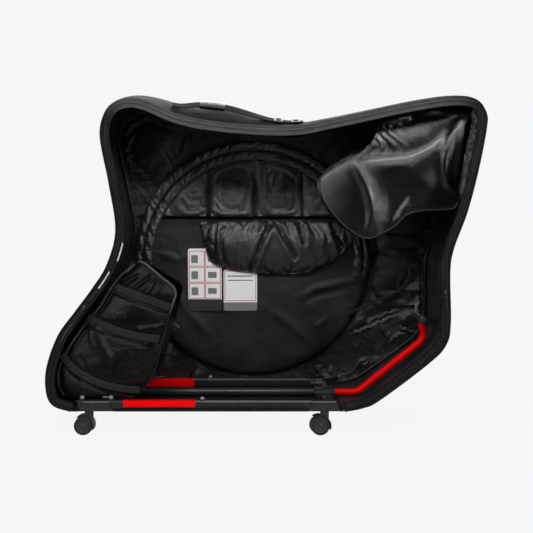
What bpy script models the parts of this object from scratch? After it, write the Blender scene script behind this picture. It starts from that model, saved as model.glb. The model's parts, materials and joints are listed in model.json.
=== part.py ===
"""A soft travel bag for a bicycle: padded walls on a metal stand with four twin-wheel casters.

Units are metres. +X points to the front of the bag, +Y away from its open side, +Z up.
The origin is on the floor, under the middle of the bag.
"""
import math

import bmesh
import bpy
from mathutils import Matrix, Vector

# Fits that the whole object shares
CLEARANCE = 0.0003
SEAT_GAP = 0.0006
OVERRUN = 0.020
ROUND_SEGMENTS = 20
SMALL_SEGMENTS = 12
MERGE_DISTANCE = 0.00001
SMOOTH_ANGLE_DEG = 35
FLAT_ANGLE_DEG = 0.5

# Twin-wheel casters
WHEEL_RADIUS = 0.025
WHEEL_WIDTH = 0.016
WHEEL_EDGE = 0.003
AXLE_RADIUS = 0.004
AXLE_SHORTFALL = 0.001
WEB_THICKNESS = 0.006
HOOD_GAP = 0.0014
HOOD_THICKNESS = 0.0028
HOOD_START_DEG = -20
HOOD_END_DEG = 125
HOOD_STEPS = 8
HUB_RADIUS = 0.009
CASTER_TRAIL = 0.014
BOSS_RADIUS = 0.012
BOSS_RISE = 0.0095
STEM_RADIUS = 0.006
STEM_REACH = 0.012
REAR_CASTER_SHARE = -0.405
FRONT_CASTER_SHARE = 0.128
REAR_CASTER_TURN_DEG = 0
FRONT_CASTER_TURN_DEG = 10

# The bag's outer form
BAG_LENGTH = 1.190
BAG_HEIGHT = 0.850
BASE_WIDTH = 0.410
TOP_WIDTH = 0.250
WALL = 0.006
BASE_THICKNESS = 0.004
PANEL_THICKNESS = 0.006
RIM_THICKNESS = 0.006
RIM_WIDTH = 0.026
CROWN = 0.012
CROWN_FADE = 0.016
FRONT_SAG = 0.006
FRONT_SAG_REACH = 0.050
TOP_CROWN = 0.035
TOP_CROWN_REACH = 0.180
TOP_CROWN_PLACE_SHARE = -0.1176
FAR_LIFT = 0.020
STEPS_PER_SPAN = 3
GUSSET_COLUMNS = 4

# Outline of the near rim, rear end of the base first and then up and over to the front end.
# Each point is a share of BAG_LENGTH from the middle and a share of BAG_HEIGHT above the base.
OUTLINE_SHARES = (
    (-0.444, 0.000), (-0.483, 0.019), (-0.499, 0.060), (-0.499, 0.136), (-0.475, 0.236),
    (-0.436, 0.313), (-0.397, 0.388), (-0.365, 0.464), (-0.346, 0.572), (-0.362, 0.719),
    (-0.383, 0.866), (-0.376, 0.939), (-0.355, 0.978), (-0.319, 0.993), (-0.277, 0.984),
    (-0.199, 0.939), (-0.098, 0.914), (0.048, 0.904), (0.151, 0.928), (0.316, 0.978),
    (0.420, 1.000), (0.476, 0.989), (0.499, 0.946), (0.499, 0.895), (0.481, 0.769),
    (0.454, 0.631), (0.422, 0.514), (0.413, 0.439), (0.413, 0.278), (0.402, 0.208),
    (0.361, 0.149), (0.252, 0.036), (0.214, 0.012), (0.172, 0.000),
)
REAR_SEAM = 12
FRONT_SEAM = 21
COVER_SEAT_START = 19
COVER_SEAT_END = 20

# Wheel pocket, pads and label cards on the far side
POCKET_PLACE_SHARE = -0.037
POCKET_FOOT_RISE = 0.040
POCKET_RADIUS = 0.355
POCKET_DEPTH = 0.030
POCKET_WALL = 0.004
HEM_RISE = 0.126
HEM_GAP = 0.002
ARC_STEPS = 32
PAD_DEPTH = 0.014
PAD_EDGE = 0.003
PAD_SEAM_WIDTH = 0.010
PAD_SEAM_DEPTH = 0.006
PAD_SEAM_SHARES = (0.20, 0.44, 0.70)
PAD_COLUMNS = 24
PAD_ROWS = 8
PAD_SIDE_POWER = 4
PAD_END_POWER = 3
ROLL_OFFSET = 0.046
ROLL_WIDTH = 0.430
ROLL_DEPTH = 0.030
ROLL_TOP_GAP = 0.003
ROLL_DROP_START = 0.078
ROLL_DROP_FULL = 0.165
ROLL_DROP_SHARE = 0.15
ROLL_FOLD_TOP_SHARES = (0.27, 0.33)
ROLL_FOLD_BOTTOM_SHARES = (0.20, 0.48)
CARD_THICKNESS = 0.0015
CARD_WIDTH = 0.101
LEFT_CARD_HEIGHT = 0.190
LEFT_CARD_OFFSET = -0.146
LEFT_CARD_DROP = 0.056
RIGHT_CARD_HEIGHT = 0.1265
RIGHT_CARD_OFFSET = -0.039
RIGHT_CARD_DROP = 0.0875

# Handlebar cover, as shares of BAG_LENGTH and BAG_HEIGHT like the outline
COVER_WALL = 0.005
COVER_NEAR_Y = -0.105
COVER_FAR_Y = 0.075
COVER_UPPER_SHARES = ((0.121, 0.734), (0.198, 0.812), (0.252, 0.922))
COVER_LOWER_SHARES = (
    (0.445, 0.934), (0.443, 0.646), (0.333, 0.637), (0.329, 0.669), (0.308, 0.598),
    (0.273, 0.562), (0.235, 0.545), (0.196, 0.565), (0.163, 0.607), (0.128, 0.685),
)
COVER_MOUTH_SHARES = (0.095, 0.500)

# Padded pouch over the rear axle, level by level from its bottom edge to its peak:
# height, rear edge and front edge as shares like the outline, and where its far wall stands.
POUCH_WALL = 0.005
POUCH_INSET = 0.030
POUCH_CORNER = 0.012
POUCH_DEPTH = 0.300
POUCH_SEAT_LAST_STATION = 15
POUCH_SEATED_SHARES = ((0.064, -0.256), (0.119, -0.238))
POUCH_LEVEL_SHARES = (
    (0.178, -0.466, -0.227, 1.00), (0.260, -0.427, -0.223, 1.00), (0.331, -0.382, -0.213, 0.93),
    (0.381, -0.364, -0.207, 0.75), (0.424, -0.341, -0.249, 0.50), (0.460, -0.303, -0.278, 0.25),
)
STRAP_WIDTH = 0.023
STRAP_THICKNESS = 0.002
TOP_STRAP_SHARES = ((-0.341, 0.388), (-0.226, 0.324))
MIDDLE_STRAP_SHARES = ((-0.401, 0.291), (-0.246, 0.222))
BOTTOM_STRAP_SHARES = ((-0.463, 0.172), (-0.403, 0.108), (-0.312, 0.092))

# Carrying handle on the crown
HANDLE_Y = -0.085
HANDLE_WIDTH = 0.038
WEBBING_THICKNESS = 0.003
HANDLE_RISE = 0.014
HANDLE_FIRST_STATION = 44
HANDLE_RISE_SHARES = (0.0, 0.3, 1.0, 1.0, 1.0, 0.5, 0.0, 0.0, 0.0)
GRIP_FIRST = 2
GRIP_LAST = 4
GRIP_WALL = 0.004
GRIP_SLIT = 0.006
ADJUSTER_SPANS = (6, 7)
ADJUSTER_LENGTH = 0.024
ADJUSTER_WIDTH = 0.046
ADJUSTER_BAR = 0.005
ADJUSTER_THICKNESS = 0.0025

# Zip sliders and pulls, at shares of the bag's length and rise, with the way that they run
SLIDER_LENGTH = 0.016
SLIDER_WIDTH = 0.010
SLIDER_THICKNESS = 0.005
PULL_LENGTH = 0.034
PULL_WIDTH = 0.008
PULL_THICKNESS = 0.0016
PULL_EYE_RADIUS = 0.0022
PULL_PIN_RADIUS = 0.0012
PULL_EYE_GAP = 0.0004
REAR_SLIDER_SHARE = (-0.420, 0.316)
REAR_SLIDER_WAY = (-0.566, -0.824)
FRONT_SLIDER_SHARE = (0.402, 0.360)
FRONT_SLIDER_WAY = (0.0, -1.0)

# Stand frame. Its places along X are measured from the rear casters, or at the front from the front ones.
RAIL_SIDE = 0.020
RAIL_WALL = 0.0016
SLEEVE_WALL = 0.0015
RAIL_REAR_OVERHANG = 0.030
RAIL_FRONT_OVERHANG = 0.018
SLEEVE_START = 0.093
NEAR_SLEEVE_LENGTH = 0.194
FAR_SLEEVE_LENGTH = 0.163
RAIL_SCREW_OFFSET = 0.305
BRACKET_PLATE = 0.0025
REAR_BRACKET_OFFSET = 0.0205
REAR_PLATE_REAR_REACH = 0.0545
REAR_PLATE_FRONT_REACH = 0.0690
REAR_FLANGE_WIDTH = 0.093
FRONT_BRACKET_OFFSET = -0.001
FRONT_PLATE_REACH = 0.0330
FRONT_FLANGE_WIDTH = 0.087
FLANGE_TAPER = 0.013
NUT_RADIUS = 0.0065
NUT_HEIGHT = 0.010
NUT_NECK_RADIUS = 0.004
NUT_NECK_HEIGHT = 0.003
REAR_NUT_SPACING = 0.0775
WING_LENGTH = 0.022
WING_THICKNESS = 0.004
CROSS_DROP = 0.002
CROSS_WALL = 0.002
REAR_CROSS_REAR_REACH = 0.007
REAR_CROSS_FRONT_REACH = 0.078
BLOCK_REAR_REACH = 0.017
BLOCK_FRONT_REACH = 0.0395
BLOCK_HALF_WIDTH = 0.045
BLOCK_TOP_MARGIN = 0.0005
LEVER_SEAT_SHARE = 0.6
ARM_WIDTH = 0.030
CENTER_TUBE_RADIUS = 0.0120

# Sliding fork mount, as points of its centre line: bends first, then the hub's axis
MOUNT_RADIUS = 0.0100
MOUNT_AXIS_LIFT = 0.0142
MOUNT_TAIL_REACH = 0.1025
MOUNT_LOW_BEND_SHARE = 0.2172
MOUNT_HIGH_BEND_SHARES = (0.3821, 0.2076)
MOUNT_BEND_RADIUS = 0.040
MOUNT_BEND_STEPS = 7
MOUNT_BEVEL_STEPS = 4
FRONT_HUB_SHARES = (0.3679, 0.2729)
FRONT_HUB_LENGTH = 0.100

# Rear axle mount
REAR_POST_OFFSET = 0.020
REAR_POST_LENGTH = 0.026
REAR_POST_WIDTH = 0.040
REAR_HUB_RISE_SHARE = 0.1835
REAR_HUB_LENGTH = 0.130
HUB_TUBE_RADIUS = 0.012
HUB_WALL = 0.006

# Quick-release skewers and cam levers
SKEWER_RADIUS = 0.0045
SKEWER_NUT_RADIUS = 0.009
SKEWER_NUT_LENGTH = 0.010
SKEWER_HEAD_LENGTH = 0.006
EAR_THICKNESS = 0.003
KNUCKLE_RADIUS = 0.006
KNUCKLE_GAP = 0.001
LEVER_HEIGHT = 0.008
LEVER_THICKNESS = 0.006
LEVER_LENGTH = 0.038
PIN_RADIUS = 0.002

# Sizes that follow from those above
REAR_CASTER_X = REAR_CASTER_SHARE * BAG_LENGTH
FRONT_CASTER_X = FRONT_CASTER_SHARE * BAG_LENGTH
TOP_CROWN_X = TOP_CROWN_PLACE_SHARE * BAG_LENGTH
POCKET_X = POCKET_PLACE_SHARE * BAG_LENGTH
POCKET_RISE = POCKET_FOOT_RISE + POCKET_RADIUS
AXLE_BORE_RADIUS = AXLE_RADIUS + CLEARANCE
HOOD_INNER = WHEEL_RADIUS + HOOD_GAP
HOOD_OUTER = HOOD_INNER + HOOD_THICKNESS
HOUSING_TOP = WHEEL_RADIUS + HOOD_OUTER + BOSS_RISE
WHEEL_OFFSET = WEB_THICKNESS / 2 + 2 * CLEARANCE + WHEEL_WIDTH / 2
HOOD_HALF_WIDTH = WHEEL_OFFSET + WHEEL_WIDTH / 2
BASE_UNDERSIDE = HOUSING_TOP + CLEARANCE
BASE_TOP = BASE_UNDERSIDE + BASE_THICKNESS
HALF_BASE = BASE_WIDTH / 2
HALF_TOP = TOP_WIDTH / 2
SLOPE = (HALF_BASE - HALF_TOP) / BAG_HEIGHT
SLOPE_ANGLE = math.atan(SLOPE)
RAIL_BOTTOM = BASE_TOP + SLEEVE_WALL + 2 * CLEARANCE
RAIL_TOP = RAIL_BOTTOM + RAIL_SIDE
BRACKET_TOP = RAIL_TOP + CLEARANCE + BRACKET_PLATE
BRACKET_ROOM = HALF_BASE - SLOPE * (BRACKET_TOP - BASE_UNDERSIDE)
RAIL_Y = BRACKET_ROOM - BRACKET_PLATE - 2 * CLEARANCE - RAIL_SIDE / 2
RAIL_OUTER_Y = RAIL_Y + RAIL_SIDE / 2
RAIL_INNER_Y = RAIL_Y - RAIL_SIDE / 2
SLEEVE_START_X = REAR_CASTER_X + SLEEVE_START
RAIL_SCREW_X = REAR_CASTER_X + RAIL_SCREW_OFFSET
REAR_BRACKET_X = REAR_CASTER_X + REAR_BRACKET_OFFSET
FRONT_BRACKET_X = FRONT_CASTER_X + FRONT_BRACKET_OFFSET
REAR_CROSS_REAR_X = REAR_CASTER_X - REAR_CROSS_REAR_REACH
REAR_CROSS_FRONT_X = REAR_CASTER_X + REAR_CROSS_FRONT_REACH
BLOCK_REAR_X = FRONT_CASTER_X - BLOCK_REAR_REACH
BLOCK_FRONT_X = FRONT_CASTER_X + BLOCK_FRONT_REACH
REAR_POST_X = REAR_CASTER_X + REAR_POST_OFFSET
REAR_HUB_Z = BASE_UNDERSIDE + REAR_HUB_RISE_SHARE * BAG_HEIGHT
MOUNT_TAIL_X = FRONT_CASTER_X - MOUNT_TAIL_REACH
MOUNT_LOW_BEND_X = MOUNT_LOW_BEND_SHARE * BAG_LENGTH
RAIL_REAR_X = REAR_CASTER_X - RAIL_REAR_OVERHANG
RAIL_FRONT_X = FRONT_CASTER_X + RAIL_FRONT_OVERHANG
CROSS_TOP = RAIL_TOP - CROSS_DROP
MOUNT_Z = BASE_TOP + MOUNT_AXIS_LIFT
BLOCK_TOP = MOUNT_Z + CENTER_TUBE_RADIUS + BLOCK_TOP_MARGIN
MOUNT_BORE_RADIUS = MOUNT_RADIUS + CLEARANCE
PIVOT_REACH = KNUCKLE_RADIUS + KNUCKLE_GAP
NEAR = -1
FAR = 1

parts = bpy.data.collections.new("bike_travel_bag")
cutters = bpy.data.collections.new("bike_travel_bag_cutters")


def finish(name, color, roughness, metallic=0.0):
    """One plain material for each kind of surface."""
    material = bpy.data.materials.get(name)
    if material is None:
        material = bpy.data.materials.new(name)
        material.use_nodes = True
        shader = material.node_tree.nodes["Principled BSDF"]
        shader.inputs["Base Color"].default_value = (*color, 1.0)
        shader.inputs["Roughness"].default_value = roughness
        shader.inputs["Metallic"].default_value = metallic
        material.diffuse_color = (*color, 1.0)
    return material


def shell_fabric():
    return finish("shell_fabric", (0.022, 0.022, 0.024), 0.62)


def rim_fabric():
    return finish("rim_fabric", (0.075, 0.077, 0.080), 0.60)


def lining():
    return finish("lining_fabric", (0.030, 0.030, 0.032), 0.45)


def gloss_fabric():
    return finish("gloss_fabric", (0.018, 0.018, 0.019), 0.30)


def webbing():
    return finish("webbing", (0.050, 0.050, 0.053), 0.70)


def card_stock():
    return finish("card_stock", (0.780, 0.780, 0.780), 0.45)


def black_metal():
    return finish("black_metal", (0.035, 0.036, 0.038), 0.35, 0.8)


def red_metal():
    return finish("red_metal", (0.500, 0.012, 0.020), 0.30, 0.6)


def bright_metal():
    return finish("bright_metal", (0.620, 0.630, 0.640), 0.25, 1.0)


def wheel_rubber():
    return finish("wheel_rubber", (0.060, 0.060, 0.062), 0.50)


# Making and joining solids


def new_object(name, mesh, material, origin=None):
    obj = bpy.data.objects.new(name, mesh)
    obj.matrix_world = origin if origin is not None else Matrix.Identity(4)
    mesh.materials.append(material)
    parts.objects.link(obj)
    return obj


def at(x=0.0, y=0.0, z=0.0):
    return Matrix.Translation((x, y, z))


def turned(axis, degrees):
    return Matrix.Rotation(math.radians(degrees), 4, axis)


def box(name, low, high, material, origin=None):
    """A box between two corners, given in the frame of its origin."""
    mesh = bpy.data.meshes.new(name)
    bm = bmesh.new()
    bmesh.ops.create_cube(bm, size=1)
    size = [high[i] - low[i] for i in range(3)]
    middle = [(high[i] + low[i]) / 2 for i in range(3)]
    bmesh.ops.scale(bm, vec=size, verts=bm.verts)
    bmesh.ops.translate(bm, vec=middle, verts=bm.verts)
    bm.to_mesh(mesh)
    bm.free()
    return new_object(name, mesh, material, origin)


def rod(name, radius, start, end, material, origin=None, axis="Z", segments=ROUND_SEGMENTS):
    """A cylinder between two places on an axis of its origin's frame."""
    turns = {"Z": Matrix.Identity(4), "Y": turned("X", -90), "X": turned("Y", 90)}
    mesh = bpy.data.meshes.new(name)
    bm = bmesh.new()
    bmesh.ops.create_cone(
        bm, cap_ends=True, segments=segments, radius1=radius, radius2=radius, depth=end - start
    )
    bmesh.ops.translate(bm, vec=(0, 0, (start + end) / 2), verts=bm.verts)
    bmesh.ops.transform(bm, matrix=turns[axis], verts=bm.verts)
    bm.to_mesh(mesh)
    bm.free()
    return new_object(name, mesh, material, origin)


def plate(name, outline, start, end, material, origin=None):
    """A flat outline in the XZ plane, drawn out along Y from start to end."""
    mesh = bpy.data.meshes.new(name)
    bm = bmesh.new()
    face = bm.faces.new([bm.verts.new((x, start, z)) for x, z in outline])
    drawn = bmesh.ops.extrude_face_region(bm, geom=[face])
    moved = [item for item in drawn["geom"] if isinstance(item, bmesh.types.BMVert)]
    bmesh.ops.translate(bm, vec=(0, end - start, 0), verts=moved)
    bmesh.ops.recalc_face_normals(bm, faces=bm.faces)
    bm.to_mesh(mesh)
    bm.free()
    return new_object(name, mesh, material, origin)


def loft(name, sections, material):
    """A closed solid through a row of closed loops of points."""
    mesh = bpy.data.meshes.new(name)
    bm = bmesh.new()
    rows = [[bm.verts.new(point) for point in section] for section in sections]
    count = len(rows[0])
    for first, second in zip(rows, rows[1:]):
        for j in range(count):
            k = (j + 1) % count
            bm.faces.new((first[j], first[k], second[k], second[j]))
    bm.faces.new(rows[0])
    bm.faces.new(rows[-1])
    bmesh.ops.recalc_face_normals(bm, faces=bm.faces)
    bm.to_mesh(mesh)
    bm.free()
    return new_object(name, mesh, material)


def ring_of(name, profile, material, origin=None, segments=ROUND_SEGMENTS):
    """A profile of radius and height turned about its origin's Z axis."""
    mesh = bpy.data.meshes.new(name)
    bm = bmesh.new()
    points = [bm.verts.new((radius, 0, height)) for radius, height in profile]
    for first, second in zip(points, points[1:] + points[:1]):
        bm.edges.new((first, second))
    bm.to_mesh(mesh)
    bm.free()
    obj = new_object(name, mesh, material, origin)
    screw = obj.modifiers.new("turn", "SCREW")
    screw.axis = "Z"
    screw.steps = segments
    screw.render_steps = segments
    screw.use_merge_vertices = True
    screw.merge_threshold = MERGE_DISTANCE
    return obj


def as_tool(obj):
    """Takes a solid out of the part and keeps it as a hidden helper."""
    parts.objects.unlink(obj)
    cutters.objects.link(obj)
    obj.hide_render = True
    obj.display_type = "WIRE"
    return obj


def combine(target, operation, tools):
    for tool in tools:
        modifier = target.modifiers.new(tool.name, "BOOLEAN")
        modifier.operation = operation
        modifier.solver = "EXACT"
        modifier.object = as_tool(tool)
    return target


def join(target, *tools):
    return combine(target, "UNION", tools)


def cut(target, *tools):
    return combine(target, "DIFFERENCE", tools)


def carry(child, parent):
    """Parents a piece to what carries it, and keeps it where it is."""
    world = child.matrix_world.copy()
    child.parent = parent
    child.matrix_parent_inverse = parent.matrix_world.inverted()
    child.matrix_world = world


def smooth(obj):
    obj.data.shade_smooth()
    obj.data.set_sharp_from_angle(angle=math.radians(SMOOTH_ANGLE_DEG))


# The bag's outer form


def half_width(z):
    return HALF_BASE - SLOPE * (z - BASE_UNDERSIDE)


def place(share):
    """A pair of shares as a point of the XZ plane."""
    return Vector((share[0] * BAG_LENGTH, BASE_UNDERSIDE + share[1] * BAG_HEIGHT))


def between(before, start, end, after, share):
    """A point of the smooth curve through start and end."""
    return (
        2 * start
        + (end - before) * share
        + (2 * before - 5 * start + 4 * end - after) * share**2
        + (3 * start - before - 3 * end + after) * share**3
    ) / 2


def outline_points():
    points = [place(share) for share in OUTLINE_SHARES]
    ends = [2 * points[0] - points[1], *points, 2 * points[-1] - points[-2]]
    curve = []
    for i in range(len(points) - 1):
        for step in range(STEPS_PER_SPAN):
            curve.append(between(*ends[i : i + 4], step / STEPS_PER_SPAN))
    return [*curve, points[-1]]


OUTLINE = outline_points()


def outward(i):
    """The outline's normal at a station, away from the bag's inside."""
    before = OUTLINE[max(i - 1, 0)]
    after = OUTLINE[min(i + 1, len(OUTLINE) - 1)]
    way = (after - before).normalized()
    return Vector((-way.y, way.x))


def hump(x, middle, reach):
    """A smooth rise and fall along X, 1 at its middle."""
    return math.exp(-(((x - middle) / reach) ** 2))


def on_top(point):
    return point.y > BASE_UNDERSIDE + BAG_HEIGHT / 2


def crown_at(point):
    """How far the gusset bulges out, half way across: most at the top, and under the fork mount."""
    fade = min((point.y - BASE_UNDERSIDE) / CROWN_FADE, 1.0)
    if on_top(point):
        return CROWN + TOP_CROWN * hump(point.x, TOP_CROWN_X, TOP_CROWN_REACH)
    return fade * (CROWN + FRONT_SAG * hump(point.x, MOUNT_LOW_BEND_X, FRONT_SAG_REACH))


def lift_at(point):
    return FAR_LIFT * hump(point.x, TOP_CROWN_X, TOP_CROWN_REACH) if on_top(point) else 0.0


def wall_point(i, across, inset=0.0):
    """A point of the gusset at a station. Across runs from -1 at the near rim to 1 at the far one."""
    point = OUTLINE[i]
    rise = crown_at(point) * (1 - across**2) + lift_at(point) * (1 + across) / 2
    moved = point + outward(i) * rise
    inner = moved - outward(i) * inset
    return Vector((inner.x, across * half_width(inner.y), inner.y))


def wall_row(i, inset=0.0):
    """The gusset's points from its near rim to its far one, at a station."""
    return [wall_point(i, 2 * j / GUSSET_COLUMNS - 1, inset) for j in range(GUSSET_COLUMNS + 1)]


def wall_section(i):
    return wall_row(i) + wall_row(i, WALL)[::-1]


def wall_at_width(i, y, inset):
    """Where the faceted gusset crosses a plane of constant Y, at a station."""
    row = wall_row(i, inset)
    for first, second in zip(row, row[1:]):
        if first.y <= y <= second.y:
            return first.lerp(second, (y - first.y) / (second.y - first.y))
    return row[0] if y < 0 else row[-1]


def pulled_back(section, neighbour):
    """A gusset's end section, drawn back from the seam by the clearance."""
    moved = []
    for point, other in zip(section, neighbour):
        moved.append(point + (other - point).normalized() * CLEARANCE)
    return moved


def gusset(name, first, last):
    sections = [wall_section(i) for i in range(first, last + 1)]
    sections[0] = pulled_back(sections[0], sections[1])
    sections[-1] = pulled_back(sections[-1], sections[-2])
    smooth(loft(name, sections, shell_fabric()))


def near_frame():
    """A frame that lies in the bag's near plane, with +Y into the bag."""
    return at(0, -HALF_BASE, BASE_UNDERSIDE) @ Matrix.Rotation(-SLOPE_ANGLE, 4, "X")


def far_frame():
    """A frame that lies in the bag's far plane, with -Y into the bag."""
    return at(0, HALF_BASE, BASE_UNDERSIDE) @ Matrix.Rotation(SLOPE_ANGLE, 4, "X")


def up_slope(rise):
    """A vertical rise as a length along the sloping planes."""
    return rise / math.cos(SLOPE_ANGLE)


def in_plane(point):
    return point.x, up_slope(point.y - BASE_UNDERSIDE)


def zip_rim():
    sections = []
    normal = near_frame().to_3x3() @ Vector((0, -1, 0))
    for i, point in enumerate(OUTLINE):
        inner = point - outward(i) * RIM_WIDTH
        corners = [Vector((p.x, -half_width(p.y), p.y)) for p in (point, inner)]
        back = [corner + normal * CLEARANCE for corner in corners]
        front = [corner + normal * (CLEARANCE + RIM_THICKNESS) for corner in corners]
        sections.append([back[0], back[1], front[1], front[0]])
    smooth(loft("zip_rim", sections, rim_fabric()))


def far_side_panel():
    outline = []
    for i in range(len(OUTLINE)):
        point = wall_point(i, 1.0)
        outline.append((point.x, up_slope(point.z - BASE_UNDERSIDE)))
    plate(
        "far_side_panel", outline, CLEARANCE, CLEARANCE + PANEL_THICKNESS, shell_fabric(), far_frame()
    )


def bag_shell():
    last = len(OUTLINE) - 1
    gusset("rear_gusset", 0, REAR_SEAM * STEPS_PER_SPAN)
    gusset("top_gusset", REAR_SEAM * STEPS_PER_SPAN, FRONT_SEAM * STEPS_PER_SPAN)
    gusset("front_gusset", FRONT_SEAM * STEPS_PER_SPAN, last)
    zip_rim()
    far_side_panel()


def base_tray():
    last = len(OUTLINE) - 1
    rear = wall_point(0, 0.0, WALL).x + 2 * CLEARANCE
    front = wall_point(last, 0.0, WALL).x - 2 * CLEARANCE
    half = half_width(BASE_TOP)
    tray = box("base_tray", (rear, -half, BASE_UNDERSIDE), (front, half, BASE_TOP), shell_fabric())
    for where, middle, width, caster_x in (
        ("rear", REAR_BRACKET_X, REAR_FLANGE_WIDTH, REAR_CASTER_X),
        ("front", FRONT_BRACKET_X, FRONT_FLANGE_WIDTH, FRONT_CASTER_X),
    ):
        for side in (NEAR, FAR):
            edges = sorted((side * RAIL_OUTER_Y, side * (HALF_BASE + OVERRUN)))
            reach = width / 2 + CLEARANCE
            notch = box(
                f"notch_{where}_{side}",
                (middle - reach, edges[0], BASE_UNDERSIDE - OVERRUN),
                (middle + reach, edges[1], BASE_TOP + OVERRUN),
                shell_fabric(),
            )
            hole = rod(
                f"stem_hole_{where}_{side}",
                STEM_RADIUS + CLEARANCE,
                BASE_UNDERSIDE - OVERRUN,
                BASE_TOP + OVERRUN,
                shell_fabric(),
                at(caster_x, side * RAIL_Y, 0),
            )
            cut(tray, notch, hole)


# The far side's pocket, pads and cards


def pocket_arc(radius, start, end, steps):
    """Points of the pocket's circle in the far plane, by angles in degrees."""
    points = []
    for step in range(steps + 1):
        angle = math.radians(start + (end - start) * step / steps)
        points.append((POCKET_X + radius * math.cos(angle), POCKET_RISE + radius * math.sin(angle)))
    return points


def wheel_pocket():
    mouth = math.degrees(math.asin(HEM_RISE / POCKET_RADIUS))
    outline = pocket_arc(POCKET_RADIUS, mouth, -180 - mouth, ARC_STEPS)
    pocket = plate("wheel_pocket", outline, -POCKET_DEPTH, 0, gloss_fabric(), far_frame())
    inside = pocket_arc(POCKET_RADIUS - POCKET_WALL, 0, -180, ARC_STEPS)
    top = POCKET_RISE + HEM_RISE + OVERRUN
    inside += [(inside[-1][0], top), (inside[0][0], top)]
    hollow = plate(
        "pocket_hollow", inside, -POCKET_DEPTH + POCKET_WALL, OVERRUN, gloss_fabric(), far_frame()
    )
    cut(pocket, hollow)


def pillow(name, left, right, bottom, top, depth, folds, back, material):
    """A padded sheet with a crowned front, drawn-in edges and stitched folds.

    bottom and top give its edges at a share of its width. Each fold is a pair of shares,
    where it meets the bottom edge and the top edge.
    """
    columns, rows = PAD_COLUMNS, PAD_ROWS
    front, rear = [], []
    for row in range(rows + 1):
        v = row / rows
        front.append([])
        rear.append([])
        for column in range(columns + 1):
            u = column / columns
            x = left + (right - left) * u
            z = bottom(u) + (top(u) - bottom(u)) * v
            crown = (1 - abs(2 * u - 1) ** PAD_SIDE_POWER) * (1 - abs(2 * v - 1) ** PAD_END_POWER)
            height = PAD_EDGE + (depth - PAD_EDGE) * math.sqrt(max(crown, 0.0))
            for low, high in folds:
                away = (u - (low + (high - low) * v)) * (right - left) / PAD_SEAM_WIDTH
                height -= min(PAD_SEAM_DEPTH, height / 2) * math.exp(-(away**2))
            front[-1].append((x, back - height, z))
            rear[-1].append((x, back, z))
    mesh = bpy.data.meshes.new(name)
    bm = bmesh.new()
    grids = [[[bm.verts.new(p) for p in line] for line in grid] for grid in (front, rear)]
    for grid in grids:
        for r in range(rows):
            for c in range(columns):
                bm.faces.new((grid[r][c], grid[r][c + 1], grid[r + 1][c + 1], grid[r + 1][c]))
    border = [(0, c) for c in range(columns)] + [(r, columns) for r in range(rows)]
    border += [(rows, c) for c in range(columns, 0, -1)] + [(r, 0) for r in range(rows, 0, -1)]
    for (r, c), (s, d) in zip(border, border[1:] + border[:1]):
        bm.faces.new((grids[0][r][c], grids[0][s][d], grids[1][s][d], grids[1][r][c]))
    bmesh.ops.recalc_face_normals(bm, faces=bm.faces)
    flat = math.radians(FLAT_ANGLE_DEG)
    bmesh.ops.dissolve_limit(bm, angle_limit=flat, verts=bm.verts, edges=bm.edges)
    bm.to_mesh(mesh)
    bm.free()
    smooth(new_object(name, mesh, material, far_frame()))


def upper_pad():
    """The quilted padding over the pocket's mouth, bounded by the pocket's circle."""
    hem = HEM_RISE + HEM_GAP
    reach = math.sqrt(POCKET_RADIUS**2 - hem**2) - HEM_GAP

    def arc(u):
        away = reach * (2 * u - 1)
        return POCKET_RISE + math.sqrt(POCKET_RADIUS**2 - away**2)

    folds = [(share, share) for share in PAD_SEAM_SHARES]
    pillow(
        "upper_pad", POCKET_X - reach, POCKET_X + reach, lambda u: POCKET_RISE + hem, arc,
        PAD_DEPTH, folds, 0.0, lining(),
    )


def pocket_roll():
    """The puffy padded edge that hangs over the pocket's face, below its mouth."""
    top = POCKET_RISE + HEM_RISE - ROLL_TOP_GAP

    def lower(u):
        return top - ROLL_DROP_FULL + (ROLL_DROP_FULL - ROLL_DROP_START) * math.exp(-u / ROLL_DROP_SHARE)

    folds = list(zip(ROLL_FOLD_BOTTOM_SHARES, ROLL_FOLD_TOP_SHARES))
    left = POCKET_X + ROLL_OFFSET - ROLL_WIDTH / 2
    back = -POCKET_DEPTH - 2 * CLEARANCE - CARD_THICKNESS
    pillow(
        "pocket_roll", left, left + ROLL_WIDTH, lower, lambda u: top, ROLL_DEPTH, folds, back,
        gloss_fabric(),
    )


def label_card(name, offset, drop, height):
    x, rise = POCKET_X + offset, POCKET_RISE - drop
    back = -POCKET_DEPTH - CLEARANCE
    box(
        name,
        (x - CARD_WIDTH / 2, back - CARD_THICKNESS, rise - height / 2),
        (x + CARD_WIDTH / 2, back, rise + height / 2),
        card_stock(),
        far_frame(),
    )


def far_side_fittings():
    wheel_pocket()
    upper_pad()
    pocket_roll()
    label_card("label_card_left", LEFT_CARD_OFFSET, LEFT_CARD_DROP, LEFT_CARD_HEIGHT)
    label_card("label_card_right", RIGHT_CARD_OFFSET, RIGHT_CARD_DROP, RIGHT_CARD_HEIGHT)


# The handlebar cover and the rear pouch


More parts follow.
